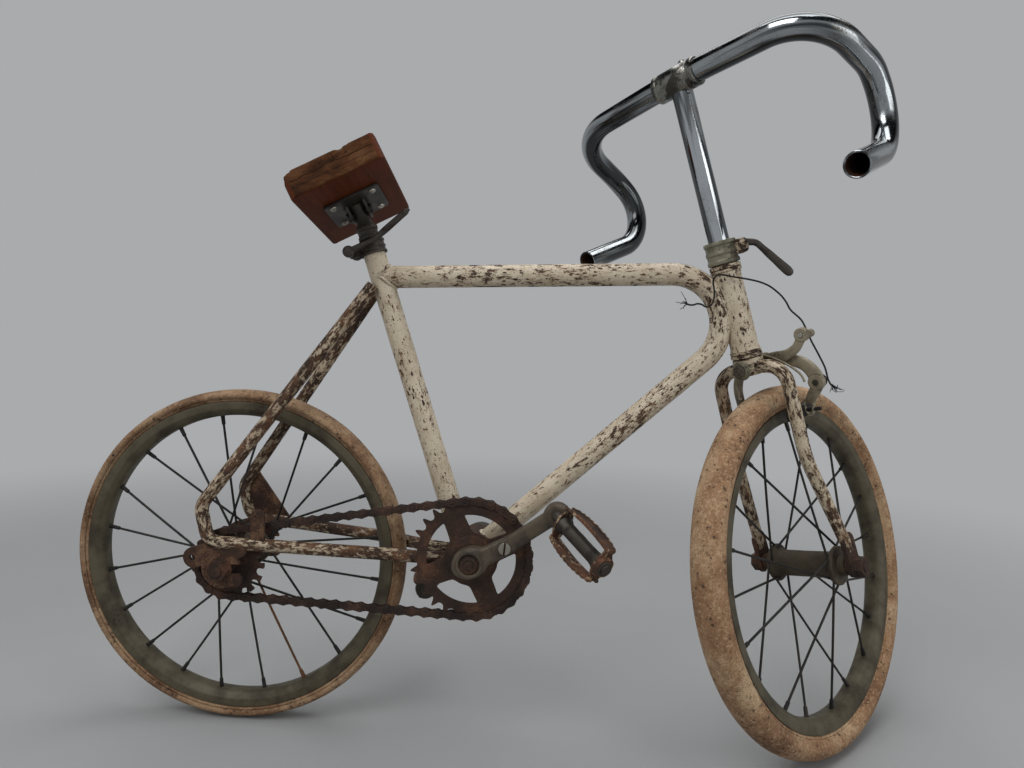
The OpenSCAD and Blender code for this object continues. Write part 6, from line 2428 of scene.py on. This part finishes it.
@dataclass
class Saddle:
    """The wooden board that stands in for a saddle."""

    length: float = 93.0
    width: float = 150.0
    thick: float = 25.0
    pitch: float = 27.0
    roll: float = 9.0
    yaw: float = 6.0
    under: tuple[float, float, float] = (114.0, 0.0, 527.0)

    def matrix(self) -> Matrix:
        """Return the matrix from the board's own frame to the model frame.

        Returns:
            The matrix.
        """
        turned = (Matrix.Rotation(math.radians(self.yaw), 4, "Z")
                  @ Matrix.Rotation(math.radians(-self.pitch), 4, "Y")
                  @ Matrix.Rotation(math.radians(-self.roll), 4, "X"))
        return ground_matrix() @ Matrix.Translation(self.under) @ turned

    def worn(self, place: Vector) -> tuple[Vector, float]:
        """Return a board point after wear, and how bare the wood is there.

        Args:
            place: A point on the sound board.

        Returns:
            The moved point and a share from 0 to 1.
        """
        half_l, half_w = self.length / 2.0, self.width / 2.0
        to_end = half_w - abs(place.y)
        to_side = half_l - abs(place.x)
        to_top = self.thick - place.z
        bare = 1.0 if to_end < 0.6 else 0.0
        rough = noise.noise(place * 0.09) + 0.6 * noise.noise(place * 0.27)
        moved = place.copy()
        if to_end < 0.6:
            moved.y -= math.copysign(max(0.0, rough) * 1.1 + 0.2, place.y)
        edge = min(to_end, to_side)
        chip = noise.noise(Vector((place.x * 0.05, place.y * 0.05, 4.0))) + 0.5 * noise.noise(place * 0.2)
        if to_top < 9.0 and edge < 7.0 and chip > 0.02:
            fall = (1.0 - to_top / 9.0) * (1.0 - edge / 7.0) * min(1.0, chip * 2.4)
            moved.z -= 3.0 * fall
            moved.y -= math.copysign(2.2 * fall, place.y) if to_end < to_side else 0.0
            moved.x -= math.copysign(2.2 * fall, place.x) if to_side <= to_end else 0.0
            bare = max(bare, min(1.0, fall * 4.0))
        return moved, bare

    def build(self, finishes: Finishes) -> None:
        """Make the board from a fine grid, rounded at its corners and chipped.

        Args:
            finishes: The bicycle's materials.
        """
        nx, ny, nz = 46, 74, 12
        half_l, half_w = self.length / 2.0, self.width / 2.0
        index: dict[tuple[int, int, int], int] = {}
        points: list[Vector] = []
        raw: list[float] = []
        faces: list[tuple[int, ...]] = []
        corner = 8.0
        edge = 1.6

        def vertex(i: int, j: int, k: int) -> int:
            """Return the number of the surface point at grid place i, j, k.

            Args:
                i: The grid place along the length.
                j: The grid place across the width.
                k: The grid place through the thickness.

            Returns:
                The number of the point.
            """
            if (i, j, k) in index:
                return index[(i, j, k)]
            place = Vector((-half_l + self.length * i / nx, -half_w + self.width * j / ny,
                            self.thick * k / nz))
            core = Vector((max(-half_l + corner, min(half_l - corner, place.x)),
                           max(-half_w + corner, min(half_w - corner, place.y)), place.z))
            away = place - core
            if abs(away.x) > 1e-6 and abs(away.y) > 1e-6:
                place = core + away.normalized() * max(abs(away.x), abs(away.y))
            inner = Vector((max(-half_l + edge, min(half_l - edge, place.x)),
                            max(-half_w + edge, min(half_w - edge, place.y)),
                            max(edge, min(self.thick - edge, place.z))))
            out = place - inner
            if out.length > edge:
                place = inner + out.normalized() * edge
            moved, bare = self.worn(place)
            index[(i, j, k)] = len(points)
            points.append(moved)
            raw.append(bare)
            return index[(i, j, k)]

        for i in range(nx):
            for j in range(ny):
                for k, flip in ((0, True), (nz, False)):
                    face = (vertex(i, j, k), vertex(i + 1, j, k), vertex(i + 1, j + 1, k),
                            vertex(i, j + 1, k))
                    faces.append(face[::-1] if flip else face)
        for i in range(nx):
            for k in range(nz):
                for j, flip in ((0, False), (ny, True)):
                    face = (vertex(i, j, k), vertex(i + 1, j, k), vertex(i + 1, j, k + 1),
                            vertex(i, j, k + 1))
                    faces.append(face[::-1] if flip else face)
        for j in range(ny):
            for k in range(nz):
                for i, flip in ((0, True), (nx, False)):
                    face = (vertex(i, j, k), vertex(i, j + 1, k), vertex(i, j + 1, k + 1),
                            vertex(i, j, k + 1))
                    faces.append(face[::-1] if flip else face)
        mesh = Mesh()
        mesh.add(points, faces)
        board = mesh.build("saddle_board_timber", Body.FRAME, [finishes.wood], self.matrix(),
                           ["saddle_board"],
                           "saddle_wood", smooth=60.0)
        data = board.data.attributes.new("raw", "FLOAT", "POINT")
        data.data.foreach_set("value", np.array(raw, dtype=np.float32))


class CarriedNodes:
    """Solid nodes whose shape is kept, each with its finish."""

    def __init__(self, finishes: Finishes) -> None:
        """Note which finish each kept node takes.

        Args:
            finishes: The bicycle's materials.
        """
        self.finish_of: dict[str, bpy.types.Material] = {
            "bottom_bracket_shell": finishes.rust, "bottom_bracket_cups": finishes.rust,
            "dropout_right": finishes.rust_plate, "dropout_left": finishes.rust_plate,
            "rear_axle": finishes.rust, "rear_axle_nuts": finishes.rust,
            "seat_post": finishes.dark_steel, "steerer": finishes.paint_solid, "fork_ends": finishes.rust,
            "front_axle": finishes.rust, "front_axle_nuts": finishes.rust, "brake_shoes": finishes.block,
            "sprocket": finishes.rust_chain, "crank_axle": finishes.rust, "pedal_pins": finishes.dark_steel,
        }

    def dress(self, nodes: dict[str, bpy.types.Object]) -> None:
        """Give each kept node its finish.

        Args:
            nodes: The solid nodes by name.
        """
        for name, material in self.finish_of.items():
            piece = nodes[name]
            if not piece.material_slots:
                piece.data.materials.append(material)
            for place in piece.material_slots:
                place.material = material


def main() -> None:
    """Build the stage and every sub-assembly in order."""
    logging.basicConfig(level=logging.INFO, format="%(name)s: %(message)s")
    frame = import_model()
    bpy.context.scene.view_settings.view_transform = "Standard"
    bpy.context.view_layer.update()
    Studio().build()
    LOG.info("stage set")
    finishes = Finishes()
    parts = [
        BrakeWire(),
        FrameTubes(),
        Fork(),
        Handlebar(),
        Wheel("front", Body.FRONT_WHEEL, 182.0, 34.0, 31.0, 41.0, 41.0),
        Wheel("rear", Body.REAR_WHEEL, 170.0, 29.0, 24.0, 29.5, 43.5),
        Chain(),
        Chainring(),
        Cranks(),
        Pedal("pedal_right", Body.PEDAL_RIGHT, (321.016, -69.0, 236.83), (0.52992, -0.76083, -0.37461),
              -16.0),
        Pedal("pedal_left", Body.PEDAL_LEFT, (181.013, 70.0, 121.104), (0.0, 1.0, 0.0), -110.0),
        FrontBrake(),
        Clamps(),
        SaddleBracket(),
        Saddle(),
    ]
    for part in parts:
        part.build(finishes)
        LOG.info("built %s", getattr(part, "name", type(part).__name__))
    CarriedNodes(finishes).dress(frame["nodes"])
    LOG.info("dressed the kept nodes")


if __name__ == "__main__":
    main()
